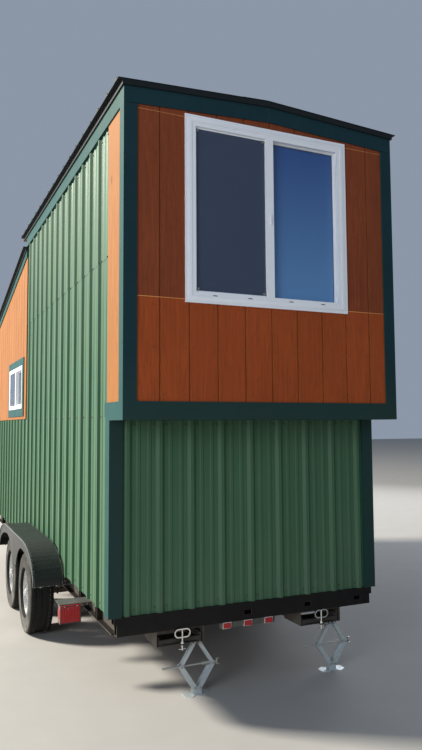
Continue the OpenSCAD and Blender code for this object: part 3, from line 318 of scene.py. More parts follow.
def metal(name, colour, faded, roughness, dust=(0.0, 0.9, 0.5), wear=None, streaks=0.35, metallic=0.0,
          relief=None, shine=0.5, side_dust_and_sun=0.0, shaded_flank_colour=None):
    tree, shader = finish(name, colour, roughness, metallic, Specular_IOR_Level=shine)
    patches = mask_of(tree, PATCHES, Scale=2.2)
    lines = times(tree, mask_of(tree, STREAKS, Width=16.0), streaks)
    tone = layer(tree, times(tree, patches, 0.6), colour, faded)
    tone = layer(tree, lines, tone, faded)
    if wear:
        radius, share, bare = wear
        tone = layer(tree, mask_of(tree, WORN, Radius=radius, Amount=share), tone, bare)
    low, high, amount = dust
    # Side faces get extra dust colour, partly real dust and partly painted sunlight.
    if side_dust_and_sun:
        amount = calc(tree, "ADD", times(tree, sunlit_side_mask(tree), side_dust_and_sun), amount)
    dirt = mask_of(tree, DUST, Low=low, High=high, Amount=amount)
    tone = layer(tree, dirt, tone, DUST_COLOUR)
    # Painted shade: the backs of the side ribs, which face the rear, take a darker green.
    if shaded_flank_colour:
        facing = split(tree, normal(tree))
        on_side = ramp(tree, calc(tree, "ABSOLUTE", facing["X"]), 0.695, 0.72)
        flank = times(tree, on_side, ramp(tree, facing["Y"], -0.25, -0.6))
        tone = layer(tree, flank, tone, shaded_flank_colour)
    rough = calc(tree, "ADD", between(tree, patches, roughness - 0.06, roughness + 0.08), times(tree, dirt, 0.35), True)
    connect(tree, shader, Base_Color=tone, Roughness=rough)
    if relief:
        bump(tree, shader, relief(tree), 0.8, 0.002)
    else:
        bump(tree, shader, noise(tree, point(tree), 260.0, 2), 0.12, 0.0006)


LUG_PITCH = 0.036


def tread_plate(tree):
    place = split(tree, point(tree))
    turns = [calc(tree, "DIVIDE", calc(tree, how, place["X"], place["Y"]), LUG_PITCH)
             for how in ("ADD", "SUBTRACT")]
    off = [calc(tree, "ABSOLUTE", calc(tree, "SUBTRACT", calc(tree, "FRACT", t), 0.5)) for t in turns]
    cells = calc(tree, "ADD", *[calc(tree, "FLOOR", t) for t in turns])
    odd = calc(tree, "ABSOLUTE", calc(tree, "MODULO", cells, 2.0))
    bars = [calc(tree, "MINIMUM", ramp(tree, along, 0.42, 0.34), ramp(tree, across, 0.13, 0.07))
            for along, across in (off, off[::-1])]
    lug = add_node(tree, "Mix", dict(data_type="FLOAT"), i0=odd, i2=bars[0], i3=bars[1]).outputs[0]
    return times(tree, lug, ramp(tree, split(tree, normal(tree))["Z"], 0.3, 0.6))


RUST, BARE_AND_HIGHLIGHT = (0.16, 0.07, 0.035), (0.42, 0.42, 0.40)
RUSTY, NO_DUST = (0.003, 0.5, RUST), (0.0, 0.1, 0.0)
# The green sheet's rib backs get a darker green, a painted shade.
metal("green_metal", (0.040, 0.102, 0.053), (0.058, 0.122, 0.070), 0.47, (0.55, 1.25, 0.07), shine=0.2,
      shaded_flank_colour=(0.007, 0.041, 0.017))
metal("roof_metal", (0.008, 0.011, 0.013), (0.014, 0.018, 0.020), 0.5, NO_DUST, shine=0.15)
# The side dust on this frame paint and on the ramp paint below is partly dust and partly painted sunlight.
metal("painted_steel", (0.006, 0.0055, 0.006), (0.012, 0.011, 0.010), 0.6, (0.2, 0.8, 0.05),
      (0.004, 0.5, RUST), shine=0.12, side_dust_and_sun=0.5)
metal("bracket_paint", (0.030, 0.036, 0.034), (0.060, 0.066, 0.062), 0.45, (0.1, 0.7, 0.45), RUSTY)
metal("ramp_paint", (0.012, 0.012, 0.013), (0.030, 0.028, 0.025), 0.55, (0.2, 0.7, 0.25),
      (0.004, 0.6, RUST), shine=0.2, side_dust_and_sun=0.3)
# The fender's wide pale worn edges are partly wear and partly a painted highlight on its rounded edges.
metal("fender_paint", (0.005, 0.007, 0.008), (0.011, 0.014, 0.014), 0.36, (0.4, 1.0, 0.03),
      (0.006, 0.85, BARE_AND_HIGHLIGHT), relief=tread_plate, shine=0.32)
metal("spring_steel", (0.022, 0.020, 0.018), (0.075, 0.045, 0.03), 0.6, (0.1, 0.8, 0.6), RUSTY)
metal("coupler_steel", (0.30, 0.31, 0.32), (0.20, 0.19, 0.17), 0.38, (0.1, 0.7, 0.3), RUSTY, 0.2, 0.85)
metal("jack_post", (0.24, 0.25, 0.26), (0.16, 0.16, 0.15), 0.36, (0.0, 0.5, 0.4), RUSTY, 0.2, 0.8)
metal("door_paint", (0.030, 0.072, 0.066), (0.045, 0.095, 0.085), 0.35, (0.6, 1.0, 0.25))
metal("screw_green", (0.028, 0.066, 0.036), (0.044, 0.086, 0.052), 0.45, (0.5, 1.0, 0.1))
metal("screw_black", (0.014, 0.016, 0.016), (0.030, 0.034, 0.034), 0.45, NO_DUST)
metal("trim_nail", (0.012, 0.030, 0.034), (0.030, 0.045, 0.045), 0.5, (0.5, 0.9, 0.1), shine=0.2)
metal("wood_nail", (0.060, 0.022, 0.013), (0.110, 0.045, 0.025), 0.5, NO_DUST)
print("metals:", len(finishes))

# %% [markdown]
# Zinc plating on the jacks has a mottled spangle, so a cell pattern drives its colour and roughness. Chrome and
# the wheels' silver lacquer are simple: they mostly show what is round them, so only their dust is patterned.

# %% Zinc, chrome and silver
THREAD_PITCH = 0.002


def screw_thread(tree):
    along = split(tree, point(tree))["X"]
    return calc(tree, "DIVIDE", calc(tree, "PINGPONG", along, THREAD_PITCH), THREAD_PITCH)


def zinc(name, colour, roughness, scale, relief=None):
    tree, shader = finish(name, colour, roughness, 0.6)
    cells = add_node(tree, "TexVoronoi", Vector=point(tree), Scale=scale).outputs["Color"]
    grey = add_node(tree, "SeparateColor", Color=cells).outputs[0]
    tone = layer(tree, times(tree, grey, 0.45), colour, scaled(colour, 0.72))
    tone = layer(tree, mask_of(tree, WORN, Radius=0.0015, Amount=0.5), tone, (0.80, 0.80, 0.78))
    dirt = mask_of(tree, DUST, Low=0.0, High=0.42, Amount=0.2)
    rough = calc(tree, "ADD", between(tree, grey, roughness - 0.08, roughness + 0.1), times(tree, dirt, 0.4), True)
    connect(tree, shader, Base_Color=layer(tree, dirt, tone, DUST_COLOUR), Roughness=rough,
            Metallic=between(tree, dirt, 0.6, 0.1))
    bump(tree, shader, relief(tree) if relief else grey, 0.9 if relief else 0.06, 0.0006)


def bright(name, colour, roughness, dust_high, dust_amount):
    tree, shader = finish(name, colour, roughness, 1.0)
    fine = noise(tree, point(tree), 90.0, 4)
    dirt = mask_of(tree, DUST, Low=0.0, High=dust_high, Amount=dust_amount)
    rough = calc(tree, "ADD", between(tree, fine, roughness - 0.04, roughness + 0.08), times(tree, dirt, 0.5), True)
    connect(tree, shader, Base_Color=layer(tree, dirt, colour, DUST_COLOUR), Roughness=rough,
            Metallic=between(tree, dirt, 1.0, 0.1))


zinc("galvanised_steel", (0.60, 0.66, 0.68), 0.42, 55.0)
zinc("bare_screw_steel", (0.50, 0.50, 0.47), 0.34, 120.0, screw_thread)
bright("chrome", (0.75, 0.75, 0.73), 0.14, 0.6, 0.25)
bright("rim_steel", (0.62, 0.63, 0.64), 0.3, 0.9, 0.3)
# The rolled fender edge's paler metal is partly bare wear and partly a painted highlight.
metal("fender_edge_wear_and_highlight", (0.10, 0.11, 0.11), (0.20, 0.21, 0.21), 0.3, (0.4, 1.0, 0.1), metallic=0.5)
bright("screw_zinc", (0.45, 0.47, 0.45), 0.35, 0.5, 0.3)
print("bright metals done; finishes:", len(finishes))

# %% [markdown]
# The siding is stained plywood: red-brown with darker fibres and a few knots. Its painted light tints the sheets over
# a height a cooler, darker painted shade, and the side and front walls a paler orange, painted sunlight. The trim is
# the same kind of wood under dark green paint, where only the fibres' relief still shows; it is bluer above and greener
# low down, painted reflections of sky and ground, and a lighter teal on the sides, painted sunlight.

# %% Woods and trim
def stained(name, light, dark, roughness, fineness, knots, board_share, relief, painted_light_tints=None):
    tree, shader = finish(name, light, roughness, Specular_IOR_Level=0.12)
    grain = use_group(tree, GRAIN, Fineness=fineness, Knots=knots)
    tone = layer(tree, times(tree, grain["Fibre"], 0.85), light, dark)
    patches = mask_of(tree, PATCHES, Scale=1.6)
    tone = layer(tree, times(tree, patches, 0.35), tone, scaled(light, 1.25))
    tone = layer(tree, times(tree, grain["Board"], board_share), tone, scaled(light, 0.62))
    tone = layer(tree, grain["Knot"], tone, scaled(dark, 0.3))
    # Painted light: above the sheet top the boards take a cooler, darker painted shade, and faces toward the sides and
    # the front a paler orange painted sunlight.
    if painted_light_tints:
        upper_shade_tint, sunlight_tint, sheet_top = painted_light_tints
        side = calc(tree, "MAXIMUM", sunlit_side_mask(tree), ramp(tree, split(tree, normal(tree))["Y"], 0.5, 0.8))
        upper = times(tree, calc(tree, "GREATER_THAN", split(tree, point(tree))["Z"], sheet_top),
                      calc(tree, "SUBTRACT", 1.0, side))
        for mask, tint in ((upper, upper_shade_tint), (side, sunlight_tint)):
            tone = layer(tree, mask, tone, tint, "MULTIPLY")
    connect(tree, shader, Base_Color=tone, Roughness=between(tree, grain["Fibre"], roughness - 0.08, roughness + 0.08))
    bump(tree, shader, grain["Fibre"], relief, 0.0015)


def painted_wood(name, colour, low_reflection_colour, sunlit_colour, worn_colour, roughness):
    tree, shader = finish(name, colour, roughness, Specular_IOR_Level=0.12)
    grain = use_group(tree, GRAIN, Fineness=45.0, Knots=0.0)
    patches = mask_of(tree, PATCHES, Scale=3.0)
    # Painted light: the trim is bluer above, a painted sky reflection, greener below 2.3 m, a painted ground
    # reflection, and a lighter teal on side faces, painted sunlight.
    tone = layer(tree, ramp(tree, split(tree, point(tree))["Z"], 2.3, 1.9), colour, low_reflection_colour)
    tone = layer(tree, sunlit_side_mask(tree), tone, sunlit_colour)
    tone = layer(tree, times(tree, patches, 0.3), tone, scaled(colour, 1.7))
    tone = layer(tree, mask_of(tree, WORN, Radius=0.0015, Amount=0.25), tone, worn_colour)
    connect(tree, shader, Base_Color=tone, Roughness=between(tree, patches, roughness - 0.05, roughness + 0.08))
    bump(tree, shader, grain["Fibre"], 0.25, 0.0008)


# The last group is painted light: the tint of the upper painted shade, the tint of the painted sunlight, and the sheet
# top.
stained("stained_wood", (0.360, 0.073, 0.0185), (0.175, 0.034, 0.0090), 0.5, 75.0, 0.75, 0.35, 0.35,
        ((0.66, 0.78, 1.15), (0.86, 1.62, 1.25), 2.65))
stained("fresh_edge", (0.70, 0.30, 0.10), (0.50, 0.18, 0.05), 0.6, 75.0, 0.0, 0.1, 0.1)
stained("wall_wood", (0.42, 0.28, 0.15), (0.30, 0.19, 0.10), 0.7, 60.0, 0.5, 0.2, 0.2)
stained("floor_wood", (0.40, 0.26, 0.14), (0.26, 0.16, 0.09), 0.65, 60.0, 0.5, 0.2, 0.2)
# Trim colours: above with painted sky reflection, low with painted ground reflection, sides with painted sunlight, then
# worn edges.
painted_wood("trim_paint", (0.008, 0.029, 0.037), (0.016, 0.038, 0.031), (0.008, 0.055, 0.047),
             (0.035, 0.070, 0.070), 0.45)
print("woods done; finishes:", len(finishes))

# %% [markdown]
# Vinyl is a soft white plastic. Window glass keeps a plain transmission, so it stays clear in every renderer, and
# its colour is a painted reflection of the sky, a deeper blue upward; the side windows get a darker painted reflection.
# The insect screen is a dark weave with gaps: alpha cuts the gaps out. Rubber is nearly black, matt, and browner where
# dust sits; on the sidewalls its pale grey is partly dust and partly painted sunlight. The lens is red plastic that
# glows a little.

# %% Vinyl, glass, screen, rubber and lens
def vinyl(name, colour, roughness):
    tree, shader = finish(name, colour, roughness)
    patches = mask_of(tree, PATCHES, Scale=5.0)
    connect(tree, shader, Base_Color=layer(tree, times(tree, patches, 0.3), colour, scaled(colour, 0.82)),
            Roughness=between(tree, patches, roughness, roughness + 0.12))


MESH_HALF, WIRE_FROM = 0.0008, 0.00052


def screen(name):
    tree, shader = finish(name, (0.046, 0.066, 0.115), 0.5)
    place = split(tree, point(tree))
    threads = [calc(tree, "PINGPONG", line, MESH_HALF)
               for line in (calc(tree, "ADD", place["X"], place["Y"]), place["Z"])]
    cover = calc(tree, "MAXIMUM", *[calc(tree, "GREATER_THAN", t, WIRE_FROM) for t in threads])
    connect(tree, shader, Alpha=between(tree, cover, 0.45, 1.0))


def rubber(name):
    black, worn, dust_and_sun_grey = (0.008, 0.008, 0.0085), (0.018, 0.017, 0.016), (0.24, 0.23, 0.21)
    tree, shader = finish(name, black, 0.7, Specular_IOR_Level=0.1)
    # The sidewalls take a pale grey that is partly dust and partly painted sunlight.
    amount = calc(tree, "ADD", sunlit_side_mask(tree), 0.03)
    dirt = mask_of(tree, DUST, Low=-0.1, High=0.9, Amount=amount)
    tone = layer(tree, times(tree, mask_of(tree, PATCHES, Scale=9.0), 0.5), black, worn)
    connect(tree, shader, Base_Color=layer(tree, dirt, tone, dust_and_sun_grey), Roughness=between(tree, dirt, 0.62, 0.92))
    bump(tree, shader, noise(tree, point(tree), 400.0, 3), 0.2, 0.0005)


def glass(name):
    tree, shader = finish(name, (0.05, 0.11, 0.21), 0.02, Transmission_Weight=0.35, IOR=1.5)
    place = point(tree)
    # Painted sky reflection: the glass is a deeper blue the higher it stands.
    tone = layer(tree, ramp(tree, split(tree, place)["Z"], 3.75, 2.7), (0.040, 0.120, 0.37), (0.14, 0.34, 0.66))
    # The side windows get a darker grey painted reflection.
    connect(tree, shader, Base_Color=layer(tree, sunlit_side_mask(tree), tone, (0.034, 0.048, 0.048)),
            Roughness=between(tree, noise(tree, place, 6.0, 5), 0.0, 0.06))


def speckled(name, colour, roughness, scale, detail, dark, light, **sockets):
    tree, shader = finish(name, colour, roughness, **sockets)
    connect(tree, shader, Base_Color=layer(tree, noise(tree, point(tree), scale, detail), dark, light))


vinyl("white_vinyl", (0.78, 0.81, 0.86), 0.32)
vinyl("gasket_black", (0.02, 0.02, 0.021), 0.55)
vinyl("clip_grey", (0.11, 0.12, 0.13), 0.5)
screen("screen_mesh")
rubber("tyre")
glass("window_glass")
speckled("red_lens", (0.30, 0.005, 0.008), 0.20, 30.0, 2, (0.22, 0.003, 0.006), (0.38, 0.007, 0.010),
         Emission_Color=(0.8, 0.02, 0.02), Emission_Strength=0.02)
speckled("studio_floor", (0.32, 0.31, 0.295), 0.85, 3.0, 6, (0.30, 0.29, 0.275), (0.34, 0.33, 0.315))
floor.data.materials.append(finishes["studio_floor"])
print("finishes:", sorted(finishes))

# %% [markdown]
# ## Dressing the CAD parts
# Each CAD node keeps its mesh. Its material slots get the finish that the record names for it.

# %% Finishes on the CAD nodes
for part in frame["record"]["subparts"]:
    for material_slot in nodes[part["node"]].material_slots:
        material_slot.material = finishes[part["material_slot"]]
print("dressed", len(nodes), "nodes")

# %% [markdown]
# ## Small parts
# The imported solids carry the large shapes. What follows is the hardware and the trim that a builder adds last:
# screws, sashes, lenses, hinges, nuts and clips. `block` and `rod` start from a primitive, round its edges and
# leave its origin at zero with the place in the mesh. `repeat` copies one model to many places, each copy with
# its own mesh, and joins them. `settle` gives a piece its name and finish, shades it smooth up to an angle and
# lets it ride on a body.

# %% Modelling helpers
HOUSE = "house_and_trailer"
made_pieces = []


def choose(piece):
    deselect()
    bpy.context.view_layer.objects.active = piece
    piece.select_set(True)


def bake(piece):
    choose(piece)
    bpy.ops.object.transform_apply(location=True, rotation=True, scale=True)


def edit(action="SELECT"):
    bpy.ops.object.mode_set(mode="EDIT")
    bpy.ops.mesh.select_all(action=action)


def close_edit():
    bpy.ops.mesh.select_all(action="SELECT")
    bpy.ops.mesh.normals_make_consistent(inside=False)
    bpy.ops.object.mode_set(mode="OBJECT")


def round_edges(piece, size, segments=2):
    choose(piece)
    edit("DESELECT")
    bpy.ops.mesh.select_mode(type="EDGE")
    bpy.ops.mesh.edges_select_sharp(sharpness=math.radians(40))
    bpy.ops.mesh.bevel(offset=size, segments=segments, affect="EDGES")
    bpy.ops.object.mode_set(mode="OBJECT")


def block(low, high, rounding=0.001):
    low, high = Vector(low), Vector(high)
    deselect()
    bpy.ops.mesh.primitive_cube_add(size=1, location=(low + high) / 2)
    piece = bpy.context.object
    piece.scale = high - low
    bake(piece)
    round_edges(piece, rounding)
    return piece


def rod(start, end, radius, sides=16, rounding=0.0):
    start, end = Vector(start), Vector(end)
    deselect()
    bpy.ops.mesh.primitive_cylinder_add(vertices=sides, radius=radius, depth=(end - start).length,
                                        location=(start + end) / 2,
                                        rotation=(end - start).to_track_quat("Z", "Y").to_euler())
    piece = bpy.context.object
    bake(piece)
    if rounding:
        round_edges(piece, rounding)
    return piece


def hoop(middle, axis, radius, thickness, around=48, section=8):
    deselect()
    bpy.ops.mesh.primitive_torus_add(location=middle, rotation=Vector(axis).to_track_quat("Z", "Y").to_euler(),
                                     major_radius=radius, minor_radius=thickness,
                                     major_segments=around, minor_segments=section)
    piece = bpy.context.object
    bake(piece)
    return piece


def join(pieces):
    deselect()
    for piece in pieces:
        piece.select_set(True)
    bpy.context.view_layer.objects.active = pieces[0]
    if len(pieces) > 1:
        bpy.ops.object.join()
    return bpy.context.view_layer.objects.active


def copy_at(model, place):
    twin = bpy.data.objects.new("twin", model.data.copy())
    twin.matrix_world = place
    link(twin)
    return twin


def repeat(model, places):
    copies = [copy_at(model, place) for place in places]
    bpy.data.objects.remove(model)
    piece = join(copies)
    bake(piece)
    return piece


def settle(piece, name, slot, finish_name=None, body=HOUSE, angle=35):
    bake(piece)
    piece.name = piece.data.name = name
    bpy.ops.object.shade_smooth_by_angle(angle=math.radians(angle))
    piece.data.materials.clear()
    piece.data.materials.append(finishes[finish_name or slot])
    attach(piece, body)
    made_pieces.append(name)


FACING = {"+x": turned(QUARTER, "Y"), "-x": turned(-QUARTER, "Y"),
          "-y": turned(QUARTER, "X"), "+y": turned(-QUARTER, "X")}


def on_wall(x, y, z, facing):
    return moved(x, y, z) @ FACING[facing]


print("helpers ready")

# %% [markdown]
# ## Screws and nails
# Ribbed sheet is held by hex-headed screws with a rubber washer, in the flats beside the ribs. Each screw has a
# domed washer, inset from one cylinder, and a six-sided head. Where two sheets lap, the screws are dark and sit on
# both. Trim boards are nailed, so they get flat heads that barely stand out of the paint. Screws and nails have
# only a few dozen faces each, as there are hundreds.

# %% One screw and one nail
REAR_Y, DECK_Y, STEP_Y, FRONT_Y, TIP_Y = -3.8005, -3.5005, -0.0005, 2.5955, 3.8155
BODY_X, CORE_X, BELT_Z, FASCIA_Z, EAVE_Z = 1.0475, 1.0225, 1.892, 3.885, 3.993
SHEET, RIB, BOARD, PLY = 0.002, 0.019, 0.025, 0.015
END_RIB_PITCH, SIDE_RIB_PITCH = 0.229, 0.25
WOOD_Y = REAR_Y + BOARD - PLY


def sheet_screw():
    washer = rod((0, 0, 0), (0, 0, 0.0015), 0.0078, 12)
    choose(washer)
    edit("DESELECT")
    bpy.ops.object.mode_set(mode="OBJECT")
    for face in washer.data.polygons:
        face.select = face.normal.z > 0.9
    bpy.ops.object.mode_set(mode="EDIT")
    bpy.ops.mesh.inset(thickness=0.0016, depth=0.0012)
    bpy.ops.object.mode_set(mode="OBJECT")
    return join([washer, rod((0, 0, 0.002), (0, 0, 0.0068), 0.0052, 6, 0.0007)])


def nail_head():
    return rod((0, 0, -0.0005), (0, 0, 0.0009), 0.0042, 10)


# %% Screws in the metal siding
LOW_ROW, TOP_ROW, LAP_ROWS, EAVE_ROW = 0.64, 1.86, (1.90, 2.99), 3.85
FIRST_RIB, SIDE_RIBS, DOOR_GAP = REAR_Y + 0.64 - 3 * SIDE_RIB_PITCH, 24, (0.79, 1.81)
side_flats = [FIRST_RIB + i * SIDE_RIB_PITCH + flat for i in range(SIDE_RIBS) for flat in (-0.048, 0.048)]
side_flats = [y for y in side_flats if REAR_Y + 0.405 < y < FRONT_Y - 0.11]
for side, name in ((-1, "left"), (1, "right")):
    places, lap_places = [], []
    for y in side_flats:
        if side > 0 and DOOR_GAP[0] < y < DOOR_GAP[1]:
            continue
        for z in (LOW_ROW, TOP_ROW) if y > STEP_Y else (LOW_ROW, *LAP_ROWS, EAVE_ROW):
            face_x = side * (CORE_X + (2 * SHEET if z >= LAP_ROWS[1] else SHEET))
            row = lap_places if z in LAP_ROWS else places
            row.append(on_wall(face_x, y, z, "+x" if side > 0 else "-x"))
    settle(repeat(sheet_screw(), places), name + "_siding_screws", "green_metal", "screw_green")
    settle(repeat(sheet_screw(), lap_places), name + "_lap_screws", "green_metal", "screw_black")
end_ribs = [i * END_RIB_PITCH for i in range(-4, 5)]
end_flats = [rib + flat for rib in end_ribs for flat in (-0.043, 0.043) if abs(rib + flat) < 0.945]
for facing, wall_y, name in (("-y", DECK_Y + BOARD - SHEET, "rear"), ("+y", FRONT_Y - BOARD + SHEET, "front")):
    places = [on_wall(x, wall_y, z, facing) for x in end_flats for z in (LOW_ROW, 1.84)]
    settle(repeat(sheet_screw(), places), name + "_siding_screws", "green_metal", "screw_green")
print("screws placed on four walls")

# %% Nails in the trim and the wood siding
REAR_INSETS, SIDE_INSETS = (0.018, 0.07), (0.012, 0.072)
nails = []
for side in (-1, 1):
    out = "+x" if side > 0 else "-x"
    for z in [2.03 + 0.3 * i for i in range(7)]:
        nails += [on_wall(side * (BODY_X - inset), REAR_Y, z, "-y") for inset in REAR_INSETS]
        nails += [on_wall(side * BODY_X, REAR_Y + inset, z + 0.02, out) for inset in SIDE_INSETS]
    for z in [0.68 + 0.3 * i for i in range(4)]:
        nails += [on_wall(side * (BODY_X - inset), DECK_Y, z, "-y") for inset in REAR_INSETS]
        nails.append(on_wall(side * BODY_X, DECK_Y + 0.07, z + 0.02, out))
    for z in [0.68 + 0.35 * i for i in range(8)]:
        nails += [on_wall(side * BODY_X, FRONT_Y - inset, z, out) for inset in SIDE_INSETS]
    nails += [on_wall(side * BODY_X, REAR_Y + 0.15 + 0.4 * i, z, out)
              for i in range(10) for z in (FASCIA_Z + 0.025, EAVE_Z - 0.02)]
SLOPE, RIDGE_RISE = 0.05, 0.0524
for x in [-0.96 + 0.24 * i for i in range(9)]:
    nails += [on_wall(x, REAR_Y, z, "-y") for z in (BELT_Z + 0.02, BELT_Z + 0.075)]
    nails += [on_wall(x, REAR_Y, z + RIDGE_RISE - SLOPE * abs(x), "-y") for z in (FASCIA_Z + 0.022, EAVE_Z - 0.02)]
settle(repeat(nail_head(), nails), "trim_nails", "trim_paint", "trim_nail")
FIRST_GROOVE, WINDOW_HALF = -0.8028, 0.64
boards = [FIRST_GROOVE - 0.05, *[FIRST_GROOVE + GROOVE_PITCH * i + s for i in range(9) for s in (-0.03, 0.03)]]
wood_nails = [on_wall(x, WOOD_Y, z, "-y") for x in boards if abs(x) < 0.94
              for z in (2.03, 2.33, 2.6, 3.905 - SLOPE * abs(x)) if abs(x) >= WINDOW_HALF or not 2.61 < z < 3.89]
wood_nails += [on_wall(s * x, WOOD_Y, z, "-y") for s in (-1, 1) for x in (0.69, 0.90) for z in (2.9, 3.2, 3.5, 3.75)]
settle(repeat(nail_head(), wood_nails), "wood_nails", "stained_wood", "wood_nail")
print("nails:", len(nails) + len(wood_nails))

# %% [markdown]
# The plywood of the rear wall is joined in sheets. The joint beside the window is a bare edge that catches the
# light, and so is the one under the fascia. Each is a thin rounded strip on the face of the siding. The two
# fascia boards meet in a dark line under the ridge.

# %% Joints between the plywood sheets
STRIP_IN, STRIP_OUT = 0.631, 0.957
strips = [block((x0, WOOD_Y - proud, low), (x1, WOOD_Y, high), rounding)
          for proud, low, high, rounding in ((0.0018, 2.648, 2.6525, 0.0006), (0.001, 3.864, 3.8665, 0.0004))
          for x0, x1 in ((-STRIP_OUT, -STRIP_IN), (STRIP_IN, STRIP_OUT))]
settle(join(strips), "sheet_joint_edges", "stained_wood", "fresh_edge")
fascia_joint = block((-0.0012, REAR_Y - 0.0005, FASCIA_Z + 0.054), (0.0012, REAR_Y + 0.002, EAVE_Z + 0.05), 0.0004)
settle(fascia_joint, "fascia_joint", "trim_paint", "gasket_black")
print("joint strips:", len(made_pieces), "pieces so far")

# %% [markdown]
# ## Windows
# A sliding window is a frame that holds two sashes on separate tracks. The one on the right is fixed, the one on
# the left slides behind an insect screen in its own thin frame, with a dark clip and a rivet in each corner. Every
# ring here is a plane that is inset, opened and extruded, so its corners are true, and its edges are rounded.

# %% A ring in the plane of a wall
def ring(low, high, width, start, depth, facing, rounding=0.0015):
    """low and high are corners along the wall and up, start is where the back face stands."""
    (u0, z0), (u1, z1) = low, high
    deselect()
    bpy.ops.mesh.primitive_plane_add(size=1)
    piece = bpy.context.object
    piece.scale = (u1 - u0, z1 - z0, 1)
    bake(piece)
    edit()
    bpy.ops.mesh.inset(thickness=width)
    bpy.ops.mesh.delete(type="FACE")
    bpy.ops.mesh.select_all(action="SELECT")
    bpy.ops.mesh.extrude_region_move(TRANSFORM_OT_translate={"value": (0, 0, depth)})
    close_edit()
    middle_u, middle_z = (u0 + u1) / 2, (z0 + z1) / 2
    across = moved(middle_u, start, middle_z)
    along = moved(start, middle_u, middle_z) @ turned(-QUARTER, "Z")
    piece.matrix_world = (across if facing == "-y" else along) @ turned(QUARTER, "X")
    bake(piece)
    round_edges(piece, rounding)
    return piece


def inner(low, high, width):
    return (low[0] + width, low[1] + width), (high[0] - width, high[1] - width)


# %% The rear window
WIN_X, WIN_LOW, WIN_HIGH, MEET = 0.556, 2.703, 3.812, 0.029
FACE_Y = WOOD_Y - 0.012
SASH, RIGHT_SASH, BEHIND = 0.010, 0.007, 0.012
left_low, left_high = (-WIN_X, WIN_LOW), (BEHIND - MEET, WIN_HIGH)
right_low, right_high = (MEET - BEHIND, WIN_LOW), (WIN_X, WIN_HIGH)
outer = ring((-0.612, 2.647), (0.612, 3.868), 0.03, FACE_Y, 0.003, "-y", 0.001)
settle(outer, "rear_window_bead", "white_vinyl")
sashes = [ring(left_low, left_high, SASH, WOOD_Y + 0.066, 0.024, "-y"),
          ring(right_low, right_high, RIGHT_SASH, WOOD_Y + 0.055, 0.034, "-y")]
settle(join(sashes), "rear_window_sashes", "white_vinyl")
gaskets = [ring(*inner(right_low, right_high, RIGHT_SASH), 0.003, WOOD_Y + 0.040, 0.003, "-y", 0.0008),
           ring(*inner(left_low, left_high, SASH), 0.003, WOOD_Y + 0.054, 0.003, "-y", 0.0008)]
settle(join(gaskets), "rear_window_gaskets", "white_vinyl", "gasket_black")
screen_frame = ring(left_low, left_high, SASH, WOOD_Y + 0.0125, 0.009, "-y", 0.0012)
settle(screen_frame, "rear_screen_frame", "white_vinyl")
CLIP = 0.011
corners = [(x, z) for x in (-WIN_X + SASH + 0.010, -MEET - 0.017)
           for z in (WIN_LOW + SASH + CLIP, WIN_HIGH - SASH - CLIP)]
clips = [block((x - CLIP, WOOD_Y - 0.001, z - CLIP), (x + CLIP, WOOD_Y + 0.008, z + CLIP), 0.0025) for x, z in corners]
rivets = [rod((x, WOOD_Y, z), (x, WOOD_Y - 0.0035, z), 0.0050, 12, 0.001) for x, z in corners]
settle(join(clips), "rear_screen_corner_clips", "white_vinyl", "clip_grey")
settle(join(rivets), "rear_screen_clip_rivets", "white_vinyl", "screw_zinc")
latch = block((-0.005, FACE_Y - 0.010, 3.21), (0.010, FACE_Y, 3.28), 0.003)
settle(latch, "rear_window_latch", "white_vinyl")
# Painted shade: dark strips stand for the shade inside the weep slots.
weep_shade_strips = [block((x - 0.016, FACE_Y - 0.0006, 2.680), (x + 0.016, FACE_Y + 0.001, 2.686), 0.0004)
         for x in (-0.42, -0.16, 0.16, 0.42)]
settle(join(weep_shade_strips), "rear_window_weep_slot_shade", "white_vinyl", "gasket_black")
print("rear window pieces:", [n for n in made_pieces if n.startswith(("rear_w", "rear_sc"))])

# %% The small window on the left
(SIDE_Y0, SIDE_Z0), (SIDE_Y1, SIDE_Z1), SIDE_MID, SIDE_SASH = (0.2645, 2.085), (1.2145, 2.495), 0.7395, 0.012
rear_pane = (SIDE_Y0, SIDE_Z0), (SIDE_MID - 0.02, SIDE_Z1)
front_pane = (SIDE_MID + 0.02, SIDE_Z0), (SIDE_Y1, SIDE_Z1)
small = [ring(*rear_pane, SIDE_SASH, -BODY_X + 0.046, 0.018, "-x"),
         ring(*front_pane, SIDE_SASH, -BODY_X + 0.042, 0.018, "-x"),
         ring((0.2195, 2.04), (1.2595, 2.54), 0.018, -BODY_X, 0.004, "-x")]
settle(join(small), "side_window_sashes", "white_vinyl")
dark = ring(*inner(*rear_pane, SIDE_SASH), 0.004, -BODY_X + 0.040, 0.003, "-x", 0.0008)
settle(dark, "side_window_gasket", "white_vinyl", "gasket_black")
print("side window pieces:", made_pieces[-2:])

# %% [markdown]
# ## Wheels
# The solids give the tyre with its grooves and the steel rim with its vents. A wheel also has hex nuts, a rolled
# rim edge, a valve, a hub cap with a bead, pressed rings round its vents, and a tyre with rings on the sidewall
# and lugs on the shoulders. One set is modelled about the wheel's own axis and copied to the four hubs; the left
# ones are turned half round, so that the same side faces out.

# %% One set of wheel hardware
AXLE = (1, 0, 0)


def spokes(count, shift=0.0):
    return [turned((i + shift) * math.tau / count, "X") for i in range(count)]


